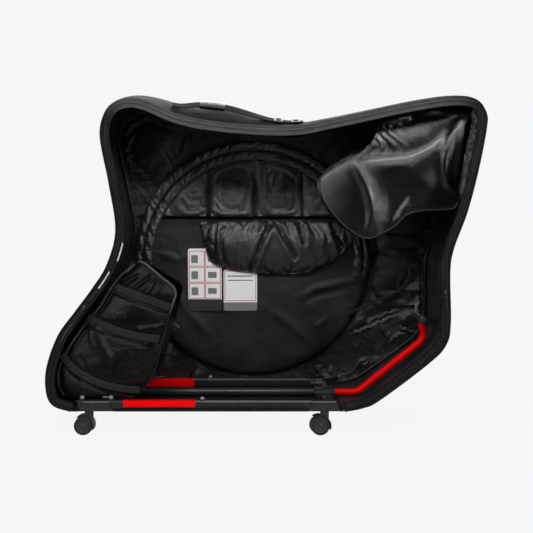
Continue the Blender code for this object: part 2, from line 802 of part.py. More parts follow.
def bar_cover():
    first = COVER_SEAT_START * STEPS_PER_SPAN
    last = COVER_SEAT_END * STEPS_PER_SPAN
    seat = [wall_at_width(i, COVER_NEAR_Y, WALL + SEAT_GAP) for i in range(first, last + 1)]
    upper = [place(share) for share in COVER_UPPER_SHARES]
    lower = [place(share) for share in COVER_LOWER_SHARES]
    top = [Vector((point.x, point.z)) for point in seat]
    cover = plate("bar_cover", upper + top + lower, COVER_NEAR_Y, COVER_FAR_Y, gloss_fabric())
    down = Vector((0, -COVER_WALL))
    back = Vector((-COVER_WALL, 0))
    mouth_x, mouth_z = place(COVER_MOUTH_SHARES)
    inside = [Vector((mouth_x, upper[0].y + (mouth_x - upper[0].x) / 2 - COVER_WALL))]
    inside += [point + down - back / 2 for point in upper[1:]]
    inside += [point + down for point in top]
    inside += [lower[0] + back, Vector((lower[1].x - COVER_WALL, mouth_z)), Vector((mouth_x, mouth_z))]
    hollow = plate(
        "cover_hollow", inside, COVER_NEAR_Y + COVER_WALL, COVER_FAR_Y - COVER_WALL, gloss_fabric()
    )
    cut(cover, hollow)


def rear_wall_x(z, y):
    """How far back the rear gusset's inner face lies, at a height and a width."""
    stations = range(STEPS_PER_SPAN, POUCH_SEAT_LAST_STATION)
    face = [wall_at_width(i, y, WALL + SEAT_GAP) for i in stations]
    for first, second in zip(face, face[1:]):
        if first.z <= z <= second.z:
            return first.x + (second.x - first.x) * (z - first.z) / (second.z - first.z)
    return face[0].x


def pouch_levels():
    """Each level as height, rear edge, front edge, near wall and far wall."""
    levels = []
    for rise, front in POUCH_SEATED_SHARES:
        z = BASE_UNDERSIDE + rise * BAG_HEIGHT
        near = -half_width(z) + POUCH_INSET
        rear = rear_wall_x(z, near + POUCH_CORNER)
        levels.append((z, rear, front * BAG_LENGTH, near, near + POUCH_DEPTH))
    for rise, rear, front, depth in POUCH_LEVEL_SHARES:
        z = BASE_UNDERSIDE + rise * BAG_HEIGHT
        near = -half_width(z) + POUCH_INSET
        levels.append((z, rear * BAG_LENGTH, front * BAG_LENGTH, near, near + POUCH_DEPTH * depth))
    return levels


def rear_pouch():
    sections = []
    c, w = POUCH_CORNER, POUCH_WALL
    for z, rear, front, near, far in pouch_levels():
        plan = [
            (front, near), (rear + c, near), (rear, near + c), (rear, far - c), (rear + c, far),
            (front, far), (front, far - w), (rear + c, far - w), (rear + w, far - c),
            (rear + w, near + c), (rear + c, near + w), (front, near + w),
        ]
        sections.append([(x, y, z) for x, y in plan])
    smooth(loft("rear_pouch", sections, gloss_fabric()))


def ribbon(points, width):
    """The outline of a strap of even width along a few points."""
    left, right = [], []
    for i, point in enumerate(points):
        way = (points[min(i + 1, len(points) - 1)] - points[max(i - 1, 0)]).normalized()
        across = Vector((-way.y, way.x)) * width / 2
        left.append(point + across)
        right.append(point - across)
    return left + right[::-1]


def pouch_strap(name, shares):
    outline = [in_plane(p) for p in ribbon([place(share) for share in shares], STRAP_WIDTH)]
    back = POUCH_INSET * math.cos(SLOPE_ANGLE) - CLEARANCE
    plate(name, outline, back - STRAP_THICKNESS, back, webbing(), near_frame())


def soft_fittings():
    bar_cover()
    rear_pouch()
    pouch_strap("pouch_strap_top", TOP_STRAP_SHARES)
    pouch_strap("pouch_strap_middle", MIDDLE_STRAP_SHARES)
    pouch_strap("pouch_strap_bottom", BOTTOM_STRAP_SHARES)


# The carrying handle


def bulge_between(i, y_low, y_high):
    """How far the crown stands above the straight line between two widths, at a station."""
    low = wall_at_width(i, y_low, 0.0)
    high = wall_at_width(i, y_high, 0.0)
    bulge = 0.0
    for point in wall_row(i):
        if y_low < point.y < y_high:
            line = low.lerp(high, (point.y - y_low) / (y_high - y_low))
            bulge = max(bulge, (point - line).length)
    return bulge


def handle_section(i, side_gap, floor, ceiling):
    """A rectangle across the strip at a station, between two heights above the webbing's underside."""
    station = HANDLE_FIRST_STATION + i
    y_low = HANDLE_Y - HANDLE_WIDTH / 2 - side_gap
    y_high = HANDLE_Y + HANDLE_WIDTH / 2 + side_gap
    rise = CLEARANCE + bulge_between(station, y_low, y_high) + HANDLE_RISE_SHARES[i] * HANDLE_RISE
    low = [wall_at_width(station, y, -rise - floor) for y in (y_low, y_high)]
    high = [wall_at_width(station, y, -rise - ceiling) for y in (y_low, y_high)]
    return [low[0], low[1], high[1], high[0]]


def handle_webbing():
    sections = [
        handle_section(i, 0.0, 0.0, WEBBING_THICKNESS) for i in range(len(HANDLE_RISE_SHARES))
    ]
    smooth(loft("top_handle_webbing", sections, webbing()))


def handle_grip():
    sections = []
    for i in range(GRIP_FIRST, GRIP_LAST + 1):
        floor = -GRIP_WALL
        ceiling = WEBBING_THICKNESS + GRIP_WALL
        outer = handle_section(i, GRIP_WALL, floor, ceiling)
        inner = handle_section(i, CLEARANCE, -CLEARANCE, WEBBING_THICKNESS + CLEARANCE)
        slit = GRIP_SLIT / HANDLE_WIDTH / 2
        sections.append([
            outer[0].lerp(outer[1], 0.5 - slit), outer[0], outer[3], outer[2], outer[1],
            outer[0].lerp(outer[1], 0.5 + slit), inner[0].lerp(inner[1], 0.5 + slit),
            inner[1], inner[2], inner[3], inner[0], inner[0].lerp(inner[1], 0.5 - slit),
        ])
    smooth(loft("top_handle_grip", sections, gloss_fabric()))


def handle_adjuster(name, i):
    """A flat metal frame on the webbing, half way between two stations."""
    first = handle_section(i, 0.0, 0.0, WEBBING_THICKNESS)[2:]
    second = handle_section(i + 1, 0.0, 0.0, WEBBING_THICKNESS)[2:]
    middle = (first[0] + first[1] + second[0] + second[1]) / 4
    along = ((second[0] + second[1]) - (first[0] + first[1])).normalized()
    up = along.cross((first[0] - first[1] + second[0] - second[1]).normalized()).normalized()
    across = up.cross(along)
    twist = max((corner - middle).dot(up) for corner in first + second)
    frame = Matrix.Translation(middle + up * (CLEARANCE + twist)) @ Matrix(
        ((along.x, across.x, up.x), (along.y, across.y, up.y), (along.z, across.z, up.z))
    ).to_4x4()
    length, width, bar = ADJUSTER_LENGTH / 2, ADJUSTER_WIDTH / 2, ADJUSTER_BAR
    adjuster = box(name, (-length, -width, 0), (length, width, ADJUSTER_THICKNESS), bright_metal(), frame)
    window = box(
        f"{name}_window",
        (bar - length, bar - width, -OVERRUN),
        (length - bar, width - bar, OVERRUN),
        bright_metal(),
        frame,
    )
    cut(adjuster, window)


def top_handle():
    handle_webbing()
    handle_grip()
    handle_adjuster("handle_adjuster_rear", ADJUSTER_SPANS[0])
    handle_adjuster("handle_adjuster_front", ADJUSTER_SPANS[1])


# Zip sliders


def zip_slider(where, share, way):
    """A slider on the rim, with a pull that hangs from an eye at its lower end."""
    point = place(share)
    turn = math.degrees(math.atan2(-way[0], -way[1]))
    frame = near_frame() @ at(point.x, 0, up_slope(point.y - BASE_UNDERSIDE)) @ turned("Y", turn)
    back = -2 * CLEARANCE - RIM_THICKNESS
    front = back - SLIDER_THICKNESS
    half = SLIDER_WIDTH / 2
    slider = box(
        f"zip_slider_{where}", (-half, front, 0), (half, back, SLIDER_LENGTH), bright_metal(), frame
    )
    eye_y = front + PULL_EYE_RADIUS
    eye_z = -PULL_EYE_RADIUS - PULL_EYE_GAP
    eye = frame @ at(0, eye_y, eye_z)
    reach = PULL_WIDTH / 2 + PULL_EYE_GAP
    for side in (NEAR, FAR):
        inner, outer = side * reach, side * half
        cheek = box(
            f"slider_cheek_{where}_{side}",
            (min(inner, outer), front, eye_z - PULL_PIN_RADIUS),
            (max(inner, outer), front + 2 * PULL_EYE_RADIUS, SLIDER_LENGTH / 2),
            bright_metal(),
            frame,
        )
        join(slider, cheek)
    pin = rod(f"slider_pin_{where}", PULL_PIN_RADIUS, -half, half, bright_metal(), eye, "X", SMALL_SEGMENTS)
    join(slider, pin)
    pull = rod(
        f"zip_pull_{where}", PULL_EYE_RADIUS, -PULL_WIDTH / 2, PULL_WIDTH / 2, bright_metal(), eye, "X",
        SMALL_SEGMENTS,
    )
    tab = box(
        f"pull_tab_{where}",
        (-PULL_WIDTH / 2, -PULL_THICKNESS / 2, -PULL_LENGTH),
        (PULL_WIDTH / 2, PULL_THICKNESS / 2, 0),
        bright_metal(),
        eye,
    )
    bore = rod(
        f"pull_bore_{where}", PULL_PIN_RADIUS + CLEARANCE, -OVERRUN, OVERRUN, bright_metal(), eye, "X",
        SMALL_SEGMENTS,
    )
    join(pull, tab)
    cut(pull, bore)
    carry(pull, slider)


# Casters


def wheel(name, origin, parent):
    edge, half = WHEEL_EDGE, WHEEL_WIDTH / 2
    profile = [
        (WHEEL_RADIUS, half - edge), (WHEEL_RADIUS, edge - half), (WHEEL_RADIUS - edge, -half),
        (AXLE_BORE_RADIUS, -half), (AXLE_BORE_RADIUS, half), (WHEEL_RADIUS - edge, half),
    ]
    tire = ring_of(name, profile, wheel_rubber(), origin)
    carry(tire, parent)
    return tire


def hood_outline():
    outline = []
    for radius, steps in ((HOOD_OUTER, range(HOOD_STEPS + 1)), (HOOD_INNER, range(HOOD_STEPS, -1, -1))):
        for step in steps:
            angle = math.radians(HOOD_START_DEG + (HOOD_END_DEG - HOOD_START_DEG) * step / HOOD_STEPS)
            outline.append((radius * math.cos(angle), radius * math.sin(angle)))
    return outline


def web_outline():
    outline = []
    rim = HOOD_INNER + HOOD_THICKNESS / 2
    spans = ((rim, HOOD_START_DEG, HOOD_END_DEG), (HUB_RADIUS, HOOD_END_DEG, HOOD_START_DEG + 360))
    for radius, start, end in spans:
        for step in range(HOOD_STEPS + 1):
            angle = math.radians(start + (end - start) * step / HOOD_STEPS)
            outline.append((radius * math.cos(angle), radius * math.sin(angle)))
    return outline


def caster(name, x, side, turn):
    """A swivelling housing on the stand's stem, with a wheel at each side of its web."""
    swivel = at(x, side * RAIL_Y, 0) @ turned("Z", turn)
    axle = swivel @ at(-CASTER_TRAIL, 0, WHEEL_RADIUS)
    boss = rod(f"{name}_housing", BOSS_RADIUS, WHEEL_RADIUS, HOUSING_TOP, black_metal(), swivel)
    room = rod(
        f"{name}_room",
        HOOD_INNER + HOOD_THICKNESS / 2,
        -OVERRUN - HOOD_HALF_WIDTH,
        OVERRUN + HOOD_HALF_WIDTH,
        black_metal(),
        axle,
        "Y",
    )
    cut(boss, room)
    half = HOOD_HALF_WIDTH
    hood = plate(f"{name}_hood", hood_outline(), -half, half, black_metal(), axle)
    web = plate(f"{name}_web", web_outline(), -WEB_THICKNESS / 2, WEB_THICKNESS / 2, black_metal(), axle)
    end = WHEEL_OFFSET + WHEEL_WIDTH / 2 - AXLE_SHORTFALL
    shaft = rod(f"{name}_axle", AXLE_RADIUS, -end, end, black_metal(), axle, "Y")
    join(boss, hood, web, shaft)
    socket = rod(
        f"{name}_socket",
        STEM_RADIUS + CLEARANCE,
        HOUSING_TOP - STEM_REACH - CLEARANCE,
        HOUSING_TOP + OVERRUN,
        black_metal(),
        swivel,
    )
    cut(boss, socket)
    for wheel_side, word in ((NEAR, "near"), (FAR, "far")):
        hub = axle @ at(0, wheel_side * WHEEL_OFFSET, 0) @ turned("X", -90)
        wheel(f"{name}_wheel_{word}", hub, boss)


def casters():
    for side, word in ((NEAR, "near"), (FAR, "far")):
        caster(f"caster_rear_{word}", REAR_CASTER_X, side, REAR_CASTER_TURN_DEG)
        caster(f"caster_front_{word}", FRONT_CASTER_X, side, -side * FRONT_CASTER_TURN_DEG)


# Stand frame


def dome_nut(name, origin):
    """A cap nut on a short neck, standing on the origin."""
    neck = rod(
        name, NUT_NECK_RADIUS, -BRACKET_PLATE / 2, NUT_NECK_HEIGHT * 2, bright_metal(), origin, "Z",
        SMALL_SEGMENTS,
    )
    low, high = NUT_NECK_HEIGHT, NUT_NECK_HEIGHT + NUT_HEIGHT
    shoulder = low + NUT_HEIGHT / 2
    profile = [
        (NUT_RADIUS / 4, high), (NUT_RADIUS * 3 / 4, (high + shoulder) / 2), (NUT_RADIUS, shoulder),
        (NUT_RADIUS, low), (NUT_RADIUS / 4, low),
    ]
    cap = ring_of(f"{name}_cap", profile, bright_metal(), origin, SMALL_SEGMENTS)
    core = rod(
        f"{name}_core", NUT_RADIUS / 2, low + NUT_HEIGHT / 8, high - NUT_HEIGHT / 8, bright_metal(), origin,
        "Z", SMALL_SEGMENTS,
    )
    join(neck, cap, core)
    return neck


def rail(name, side):
    y, half = side * RAIL_Y, RAIL_SIDE / 2
    bar = box(
        name, (RAIL_REAR_X, y - half, RAIL_BOTTOM), (RAIL_FRONT_X, y + half, RAIL_TOP), black_metal()
    )
    inner = half - RAIL_WALL
    bore = box(
        f"{name}_bore",
        (RAIL_REAR_X - OVERRUN, y - inner, RAIL_BOTTOM + RAIL_WALL),
        (RAIL_FRONT_X + OVERRUN, y + inner, RAIL_TOP - RAIL_WALL),
        black_metal(),
    )
    cut(bar, bore)
    for word, x in (("rear", REAR_CASTER_X), ("front", FRONT_CASTER_X)):
        stem = rod(
            f"{name}_stem_{word}",
            STEM_RADIUS,
            HOUSING_TOP - STEM_REACH,
            RAIL_TOP - RAIL_WALL / 2,
            black_metal(),
            at(x, y, 0),
        )
        join(bar, stem)
    join(bar, dome_nut(f"{name}_screw", at(RAIL_SCREW_X, y, RAIL_TOP - BRACKET_PLATE / 4)))


def sleeve(name, side, length):
    """The red coupler that joins the two halves of a rail."""
    y, end_x = side * RAIL_Y, SLEEVE_START_X + length
    inner = RAIL_SIDE / 2 + CLEARANCE
    outer = inner + SLEEVE_WALL
    middle = (RAIL_BOTTOM + RAIL_TOP) / 2
    cover = box(
        name, (SLEEVE_START_X, y - outer, middle - outer), (end_x, y + outer, middle + outer), red_metal()
    )
    bore = box(
        f"{name}_bore",
        (SLEEVE_START_X - OVERRUN, y - inner, middle - inner),
        (end_x + OVERRUN, y + inner, middle + inner),
        red_metal(),
    )
    cut(cover, bore)


def bracket(name, side, middle, rear_reach, front_reach, width, nuts):
    """A saddle over the rail with a tapered flange down its outer side."""
    low = RAIL_TOP + CLEARANCE
    high = BRACKET_TOP
    edges = sorted((side * RAIL_INNER_Y, side * (RAIL_OUTER_Y + CLEARANCE + BRACKET_PLATE)))
    saddle = box(
        name, (middle - rear_reach, edges[0], low), (middle + front_reach, edges[1], high), black_metal()
    )
    outline = [
        (middle - width / 2, BASE_UNDERSIDE), (middle + width / 2, BASE_UNDERSIDE),
        (middle + width / 2 - FLANGE_TAPER, low + BRACKET_PLATE / 2),
        (middle - width / 2 + FLANGE_TAPER, low + BRACKET_PLATE / 2),
    ]
    face = sorted((side * (RAIL_OUTER_Y + CLEARANCE), side * (RAIL_OUTER_Y + CLEARANCE + BRACKET_PLATE)))
    join(saddle, plate(f"{name}_flange", outline, face[0], face[1], black_metal()))
    for i, x in enumerate(nuts):
        join(saddle, dome_nut(f"{name}_nut_{i}", at(x, side * RAIL_Y, high)))
    if len(nuts) > 1:
        wing_low = high + NUT_NECK_HEIGHT + NUT_HEIGHT / 4
        wing = box(
            f"{name}_wing",
            (nuts[-1] - WING_LENGTH, side * RAIL_Y - WING_THICKNESS / 2, wing_low),
            (nuts[-1], side * RAIL_Y + WING_THICKNESS / 2, wing_low + WING_THICKNESS),
            bright_metal(),
        )
        join(saddle, wing)


def brackets():
    rear_nuts = (REAR_BRACKET_X - REAR_NUT_SPACING / 2, REAR_BRACKET_X + REAR_NUT_SPACING / 2)
    for side, word in ((NEAR, "near"), (FAR, "far")):
        bracket(
            f"bracket_rear_{word}", side, REAR_BRACKET_X, REAR_PLATE_REAR_REACH,
            REAR_PLATE_FRONT_REACH, REAR_FLANGE_WIDTH, rear_nuts,
        )
        bracket(
            f"bracket_front_{word}", side, FRONT_BRACKET_X, FRONT_PLATE_REACH, FRONT_PLATE_REACH,
            FRONT_FLANGE_WIDTH, (FRONT_CASTER_X,),
        )


def clevis(name, origin, material):
    """Two ears and a pin that a cam lever turns on. They stand on the origin, towards its +Y."""
    low = LEVER_HEIGHT / 2 + CLEARANCE
    high = low + EAR_THICKNESS
    pieces = []
    for side in (NEAR, FAR):
        heights = sorted((side * low, side * high))
        pieces.append(box(
            f"{name}_ear_{side}",
            (-KNUCKLE_RADIUS, -KNUCKLE_GAP, heights[0]),
            (KNUCKLE_RADIUS, PIVOT_REACH + KNUCKLE_RADIUS, heights[1]),
            material,
            origin,
        ))
    pin_end = low + EAR_THICKNESS / 2
    pieces.append(rod(
        f"{name}_pin", PIN_RADIUS, -pin_end, pin_end, material, origin @ at(0, PIVOT_REACH, 0), "Z",
        SMALL_SEGMENTS,
    ))
    return pieces


def cam_lever(name, origin, parent=None):
    """A lever on the pin of a clevis, lying along the frame's -X."""
    pivot = origin @ at(0, PIVOT_REACH, 0)
    half = LEVER_HEIGHT / 2
    lever = rod(name, KNUCKLE_RADIUS, -half, half, bright_metal(), pivot)
    bar = box(
        f"{name}_bar", (-LEVER_LENGTH, 0, -half), (0, LEVER_THICKNESS, half), bright_metal(), pivot
    )
    bore = rod(
        f"{name}_bore", PIN_RADIUS + CLEARANCE, -OVERRUN, OVERRUN, bright_metal(), pivot, "Z", SMALL_SEGMENTS
    )
    join(lever, bar)
    cut(lever, bore)
    if parent is not None:
        carry(lever, parent)


def rear_cross_member():
    reach = RAIL_INNER_Y - CLEARANCE
    cross = box(
        "rear_cross_member",
        (REAR_CROSS_REAR_X, -reach, RAIL_BOTTOM),
        (REAR_CROSS_FRONT_X, reach, CROSS_TOP),
        black_metal(),
    )
    bore = box(
        "rear_cross_bore",
        (REAR_CROSS_REAR_X + CROSS_WALL, -reach - OVERRUN, RAIL_BOTTOM + CROSS_WALL),
        (REAR_CROSS_FRONT_X - CROSS_WALL, reach + OVERRUN, CROSS_TOP - CROSS_WALL),
        black_metal(),
    )
    cut(cross, bore)


def lever_seat():
    """The slide clamp's clevis stands on the block's top, on its far half."""
    middle = (BLOCK_REAR_X + BLOCK_FRONT_X) / 2
    return at(middle, BLOCK_HALF_WIDTH * LEVER_SEAT_SHARE, BLOCK_TOP) @ turned("X", 90)


def front_cross_member():
    """The block that the fork mount slides through, with an arm to each rail."""
    block = box(
        "front_cross_member",
        (BLOCK_REAR_X, -BLOCK_HALF_WIDTH, BASE_TOP + CLEARANCE),
        (BLOCK_FRONT_X, BLOCK_HALF_WIDTH, BLOCK_TOP),
        black_metal(),
    )
    middle = (BLOCK_REAR_X + BLOCK_FRONT_X) / 2
    reach = RAIL_INNER_Y - CLEARANCE
    arms = box(
        "front_cross_arms",
        (middle - ARM_WIDTH / 2, -reach, RAIL_BOTTOM),
        (middle + ARM_WIDTH / 2, reach, CROSS_TOP),
        black_metal(),
    )
    bore = rod(
        "front_cross_bore", MOUNT_BORE_RADIUS, BLOCK_REAR_X - OVERRUN, BLOCK_FRONT_X + OVERRUN,
        black_metal(), at(0, 0, MOUNT_Z), "X",
    )
    join(block, arms, *clevis("slide_clevis", lever_seat(), black_metal()))
    cut(block, bore)
    cam_lever("slide_lever", lever_seat())


def center_tube():
    start = REAR_CROSS_FRONT_X + CLEARANCE
    end = BLOCK_REAR_X - CLEARANCE
    tube = rod("center_tube", CENTER_TUBE_RADIUS, start, end, black_metal(), at(0, 0, MOUNT_Z), "X")
    bore = rod(
        "center_tube_bore", MOUNT_BORE_RADIUS, start - OVERRUN, end + OVERRUN, black_metal(),
        at(0, 0, MOUNT_Z), "X",
    )
    cut(tube, bore)


def stand():
    rail("near_rail", NEAR)
    rail("far_rail", FAR)
    sleeve("near_sleeve", NEAR, NEAR_SLEEVE_LENGTH)
    sleeve("far_sleeve", FAR, FAR_SLEEVE_LENGTH)
    brackets()
    rear_cross_member()
    front_cross_member()
    center_tube()


# Axle mounts


def filleted(points, radius, steps):
    """The points with each inner corner replaced by an arc."""
    path = [points[0]]
    for before, corner, after in zip(points, points[1:], points[2:]):
        back = (before - corner).normalized()
        on = (after - corner).normalized()
        half = back.angle(on) / 2
        middle = corner + (back + on).normalized() * radius / math.sin(half)
        start = corner + back * radius / math.tan(half)
        end = corner + on * radius / math.tan(half)
        for step in range(steps + 1):
            way = (start - middle).normalized().slerp((end - middle).normalized(), step / steps)
            path.append(middle + way * radius)
    return [*path, points[-1]]


def hub_place():
    """The front hub's place, in the XZ plane."""
    return place(FRONT_HUB_SHARES)


def mount_path():
    hub = Vector((hub_place().x, 0, hub_place().y))
    bend = place(MOUNT_HIGH_BEND_SHARES)
    high = Vector((bend.x, 0, bend.y))
    low = Vector((MOUNT_LOW_BEND_X, 0, MOUNT_Z))
    end = hub + (high - hub).normalized() * (HUB_TUBE_RADIUS + CLEARANCE)
    tail = Vector((MOUNT_TAIL_X, 0, MOUNT_Z))
    return filleted([tail, low, high, end], MOUNT_BEND_RADIUS, MOUNT_BEND_STEPS)


def fork_mount_tube():
    curve = bpy.data.curves.new("front_mount_tube", "CURVE")
    curve.dimensions = "3D"
    curve.bevel_depth = MOUNT_RADIUS
    curve.bevel_resolution = MOUNT_BEVEL_STEPS
    curve.use_fill_caps = True
    path = mount_path()
    line = curve.splines.new("POLY")
    line.points.add(len(path) - 1)
    for spot, point in zip(line.points, path):
        spot.co = (*point, 1.0)
    tube = bpy.data.objects.new("front_mount_tube", curve)
    curve.materials.append(red_metal())
    parts.objects.link(tube)
    return tube


def hub(name, x, z, length, parent=None):
    """A dummy hub with a quick-release skewer through it and a cam lever at its far end."""
    axis = at(x, 0, z)
    half = length / 2
    body = rod(name, HUB_TUBE_RADIUS, -half, half, bright_metal(), axis, "Y")
    bore = rod(
        f"{name}_bore", SKEWER_RADIUS + CLEARANCE, -half - OVERRUN, half + OVERRUN, bright_metal(), axis, "Y"
    )
    cut(body, bore)
    near_end = -half - CLEARANCE - SKEWER_NUT_LENGTH
    far_end = half + CLEARANCE + SKEWER_HEAD_LENGTH
    word = name.replace("_hub", "")
    skewer = rod(
        f"{word}_skewer", SKEWER_RADIUS, near_end + SKEWER_NUT_LENGTH / 2, far_end - SKEWER_HEAD_LENGTH / 2,
        bright_metal(), axis, "Y", SMALL_SEGMENTS,
    )
    nut = rod(
        f"{word}_skewer_nut", SKEWER_NUT_RADIUS, near_end, -half - CLEARANCE, bright_metal(), axis, "Y"
    )
    head = rod(
        f"{word}_skewer_head", SKEWER_NUT_RADIUS, half + CLEARANCE, far_end, bright_metal(), axis, "Y"
    )
    seat = at(x, far_end, z) @ turned("Y", 90)
    join(skewer, nut, head, *clevis(f"{word}_clevis", seat, bright_metal()))
    cam_lever(f"{word}_skewer_lever", seat, skewer)
    if parent is not None:
        carry(body, parent)
        carry(skewer, parent)


def rear_post():
    half_x, half_y = REAR_POST_LENGTH / 2, REAR_POST_WIDTH / 2
    post = box(
        "rear_post",
        (REAR_POST_X - half_x, -half_y, CROSS_TOP + CLEARANCE),
        (REAR_POST_X + half_x, half_y, REAR_HUB_Z),
        red_metal(),
    )
    axis = at(REAR_POST_X, 0, REAR_HUB_Z)
    head = rod("rear_post_head", HUB_TUBE_RADIUS + HUB_WALL, -half_y, half_y, red_metal(), axis, "Y")
    bore = rod(
        "rear_post_bore", HUB_TUBE_RADIUS + CLEARANCE, -half_y - OVERRUN, half_y + OVERRUN, red_metal(),
        axis, "Y",
    )
    join(post, head)
    cut(post, bore)


def axle_mounts():
    mount = fork_mount_tube()
    hub("front_hub", hub_place().x, hub_place().y, FRONT_HUB_LENGTH, mount)
    rear_post()
    hub("rear_hub", REAR_POST_X, REAR_HUB_Z, REAR_HUB_LENGTH)


def main():
    for obj in list(bpy.data.objects):
        bpy.data.objects.remove(obj, do_unlink=True)
    bpy.context.scene.collection.children.link(parts)
    bpy.context.scene.collection.children.link(cutters)
    cutters.hide_render = True
    bag_shell()
    base_tray()
    far_side_fittings()
    soft_fittings()
    top_handle()
    zip_slider("rear", REAR_SLIDER_SHARE, REAR_SLIDER_WAY)
    zip_slider("front", FRONT_SLIDER_SHARE, FRONT_SLIDER_WAY)
    casters()
    stand()
    axle_mounts()


main()
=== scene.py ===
# %% [markdown]
# # A soft travel bag on casters
#
# The bag is a padded fabric shell on a metal stand with casters. Its near side is open, so the
# inside shows: a quilted far side with a round wheel pocket, a glossy cover in the upper front
# corner, a padded pouch at the rear, and the stand with its red couplers and its sliding mount.
#
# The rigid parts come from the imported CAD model, which is loaded first and never moved. Everything
# soft is made here, in metres and in the same frame: X runs along the bag, Y away from the open
# side, Z up.

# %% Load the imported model
import json
import math

import bmesh
import bpy
import numpy as np
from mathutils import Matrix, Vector, noise
from mathutils.geometry import delaunay_2d_cdt


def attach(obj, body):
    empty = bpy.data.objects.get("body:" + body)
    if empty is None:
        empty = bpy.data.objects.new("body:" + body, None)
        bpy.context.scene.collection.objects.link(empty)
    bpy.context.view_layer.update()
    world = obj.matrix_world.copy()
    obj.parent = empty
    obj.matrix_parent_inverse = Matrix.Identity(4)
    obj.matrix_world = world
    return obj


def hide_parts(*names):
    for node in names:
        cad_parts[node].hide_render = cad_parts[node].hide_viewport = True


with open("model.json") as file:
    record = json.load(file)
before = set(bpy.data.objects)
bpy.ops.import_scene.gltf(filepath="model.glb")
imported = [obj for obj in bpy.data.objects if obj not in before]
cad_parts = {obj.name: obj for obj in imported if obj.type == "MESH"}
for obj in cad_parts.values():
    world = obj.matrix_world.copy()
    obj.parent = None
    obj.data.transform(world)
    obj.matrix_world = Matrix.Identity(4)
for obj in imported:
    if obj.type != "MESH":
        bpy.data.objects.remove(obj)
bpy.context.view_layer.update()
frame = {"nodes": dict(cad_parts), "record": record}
behaviour = frame["record"]["behaviour"]
body_of = {node: body for body, nodes in behaviour["bodies"].items() for node in nodes}
slot_of = {row["node"]: row["material_slot"] for row in frame["record"]["subparts"]}

# %% [markdown]
# ## The bag's main sizes
#
# The open side and the far side lean towards each other, so the bag is wide at its base and narrow
# at its top. Both follow one outline, given as points that a smooth curve runs through. The curve
# is a Catmull-Rom spline: it passes through each point, which makes the points easy to place.

# %% Main sizes and the outline
BASE_Z = 0.064
HEIGHT = 0.850
HALF_BASE = 0.205
HALF_TOP = 0.125
SLOPE = (HALF_BASE - HALF_TOP) / HEIGHT
LEAN = math.atan(SLOPE)
WALL = 0.006
OUTLINE_POINTS = (
    (-0.528, 0.064), (-0.575, 0.080), (-0.594, 0.115), (-0.594, 0.180), (-0.565, 0.265),
    (-0.519, 0.330), (-0.472, 0.394), (-0.434, 0.458), (-0.412, 0.550), (-0.431, 0.675),
    (-0.456, 0.800), (-0.447, 0.862), (-0.422, 0.895), (-0.380, 0.908), (-0.330, 0.900),
    (-0.237, 0.862), (-0.117, 0.841), (0.057, 0.832), (0.180, 0.853), (0.376, 0.895),
    (0.500, 0.914), (0.566, 0.905), (0.594, 0.868), (0.594, 0.825), (0.572, 0.718),
    (0.540, 0.600), (0.502, 0.501), (0.491, 0.437), (0.491, 0.300), (0.478, 0.241),
    (0.430, 0.191), (0.300, 0.095), (0.255, 0.074), (0.205, 0.064),
)
STEPS = 10
REAR_SEAM = 12 * STEPS
FRONT_SEAM = 21 * STEPS


# %% The outline as a smooth curve
def spline(points, steps):
    """A smooth curve through the points, as an array with steps points to each span."""
    p = np.array(points, float)
    p = np.vstack([2 * p[0] - p[1], p, 2 * p[-1] - p[-2]])
    curve = []
    for a, b, c, d in zip(p, p[1:], p[2:], p[3:]):
        square, cube = 2 * a - 5 * b + 4 * c - d, 3 * b - a - 3 * c + d
        for t in np.arange(steps) / steps:
            curve.append((2 * b + (c - a) * t + square * t**2 + cube * t**3) / 2)
    return np.array([*curve, p[-2]])


def lengths_along(points):
    """How far along a line each of its points lies."""
    return np.concatenate([[0.0], np.cumsum(np.linalg.norm(np.diff(points, axis=0), axis=1))])


def unit(vectors):
    """The same directions, with a length of one."""
    return vectors / np.linalg.norm(vectors, axis=-1, keepdims=True)


def normals(line):
    """The directions at right angles to a flat line, on its left."""
    way = unit(np.gradient(line, axis=0))
    return np.stack([-way[:, 1], way[:, 0]], axis=1)


def half_width(z):
    return HALF_BASE - SLOPE * (z - BASE_Z)


outline = spline(OUTLINE_POINTS, STEPS)
outward = normals(outline)
along = lengths_along(outline)
print("outline", len(outline), "points,", round(float(along[-1]), 3), "m")

# %% [markdown]
# ## Small tools for making pieces
#
# Each piece below is a plain mesh with its place in its vertices, so that a pattern that reads
# object coordinates stays put. Four tools make most of them: a shell between two grids of points,
# a section swept along a line, a flat panel with two layers, and a refined copy of a CAD node.
# The first three close their mesh and turn its faces outwards.


# %% Tools for meshes
def in_scene(name, mesh):
    obj = bpy.data.objects.new(name, mesh)
    bpy.context.scene.collection.objects.link(obj)
    return obj


def face_outwards(mesh):
    bm = bmesh.new()
    bm.from_mesh(mesh)
    bmesh.ops.recalc_face_normals(bm, faces=bm.faces)
    bm.to_mesh(mesh)
    bm.free()


def dress(obj, finish, node=None, body=None, slot=None, sharp=50):
    """Gives a piece its finish, and ties it to its body and to its CAD node, if it has one."""
    obj.data.materials.clear()
    obj.data.materials.append(finish.material)
    obj.data.shade_smooth()
    obj.data.set_sharp_from_angle(angle=math.radians(sharp))
    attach(obj, body or (body_of[node] if node else "bag"))
    if node:
        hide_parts(node)
    return obj


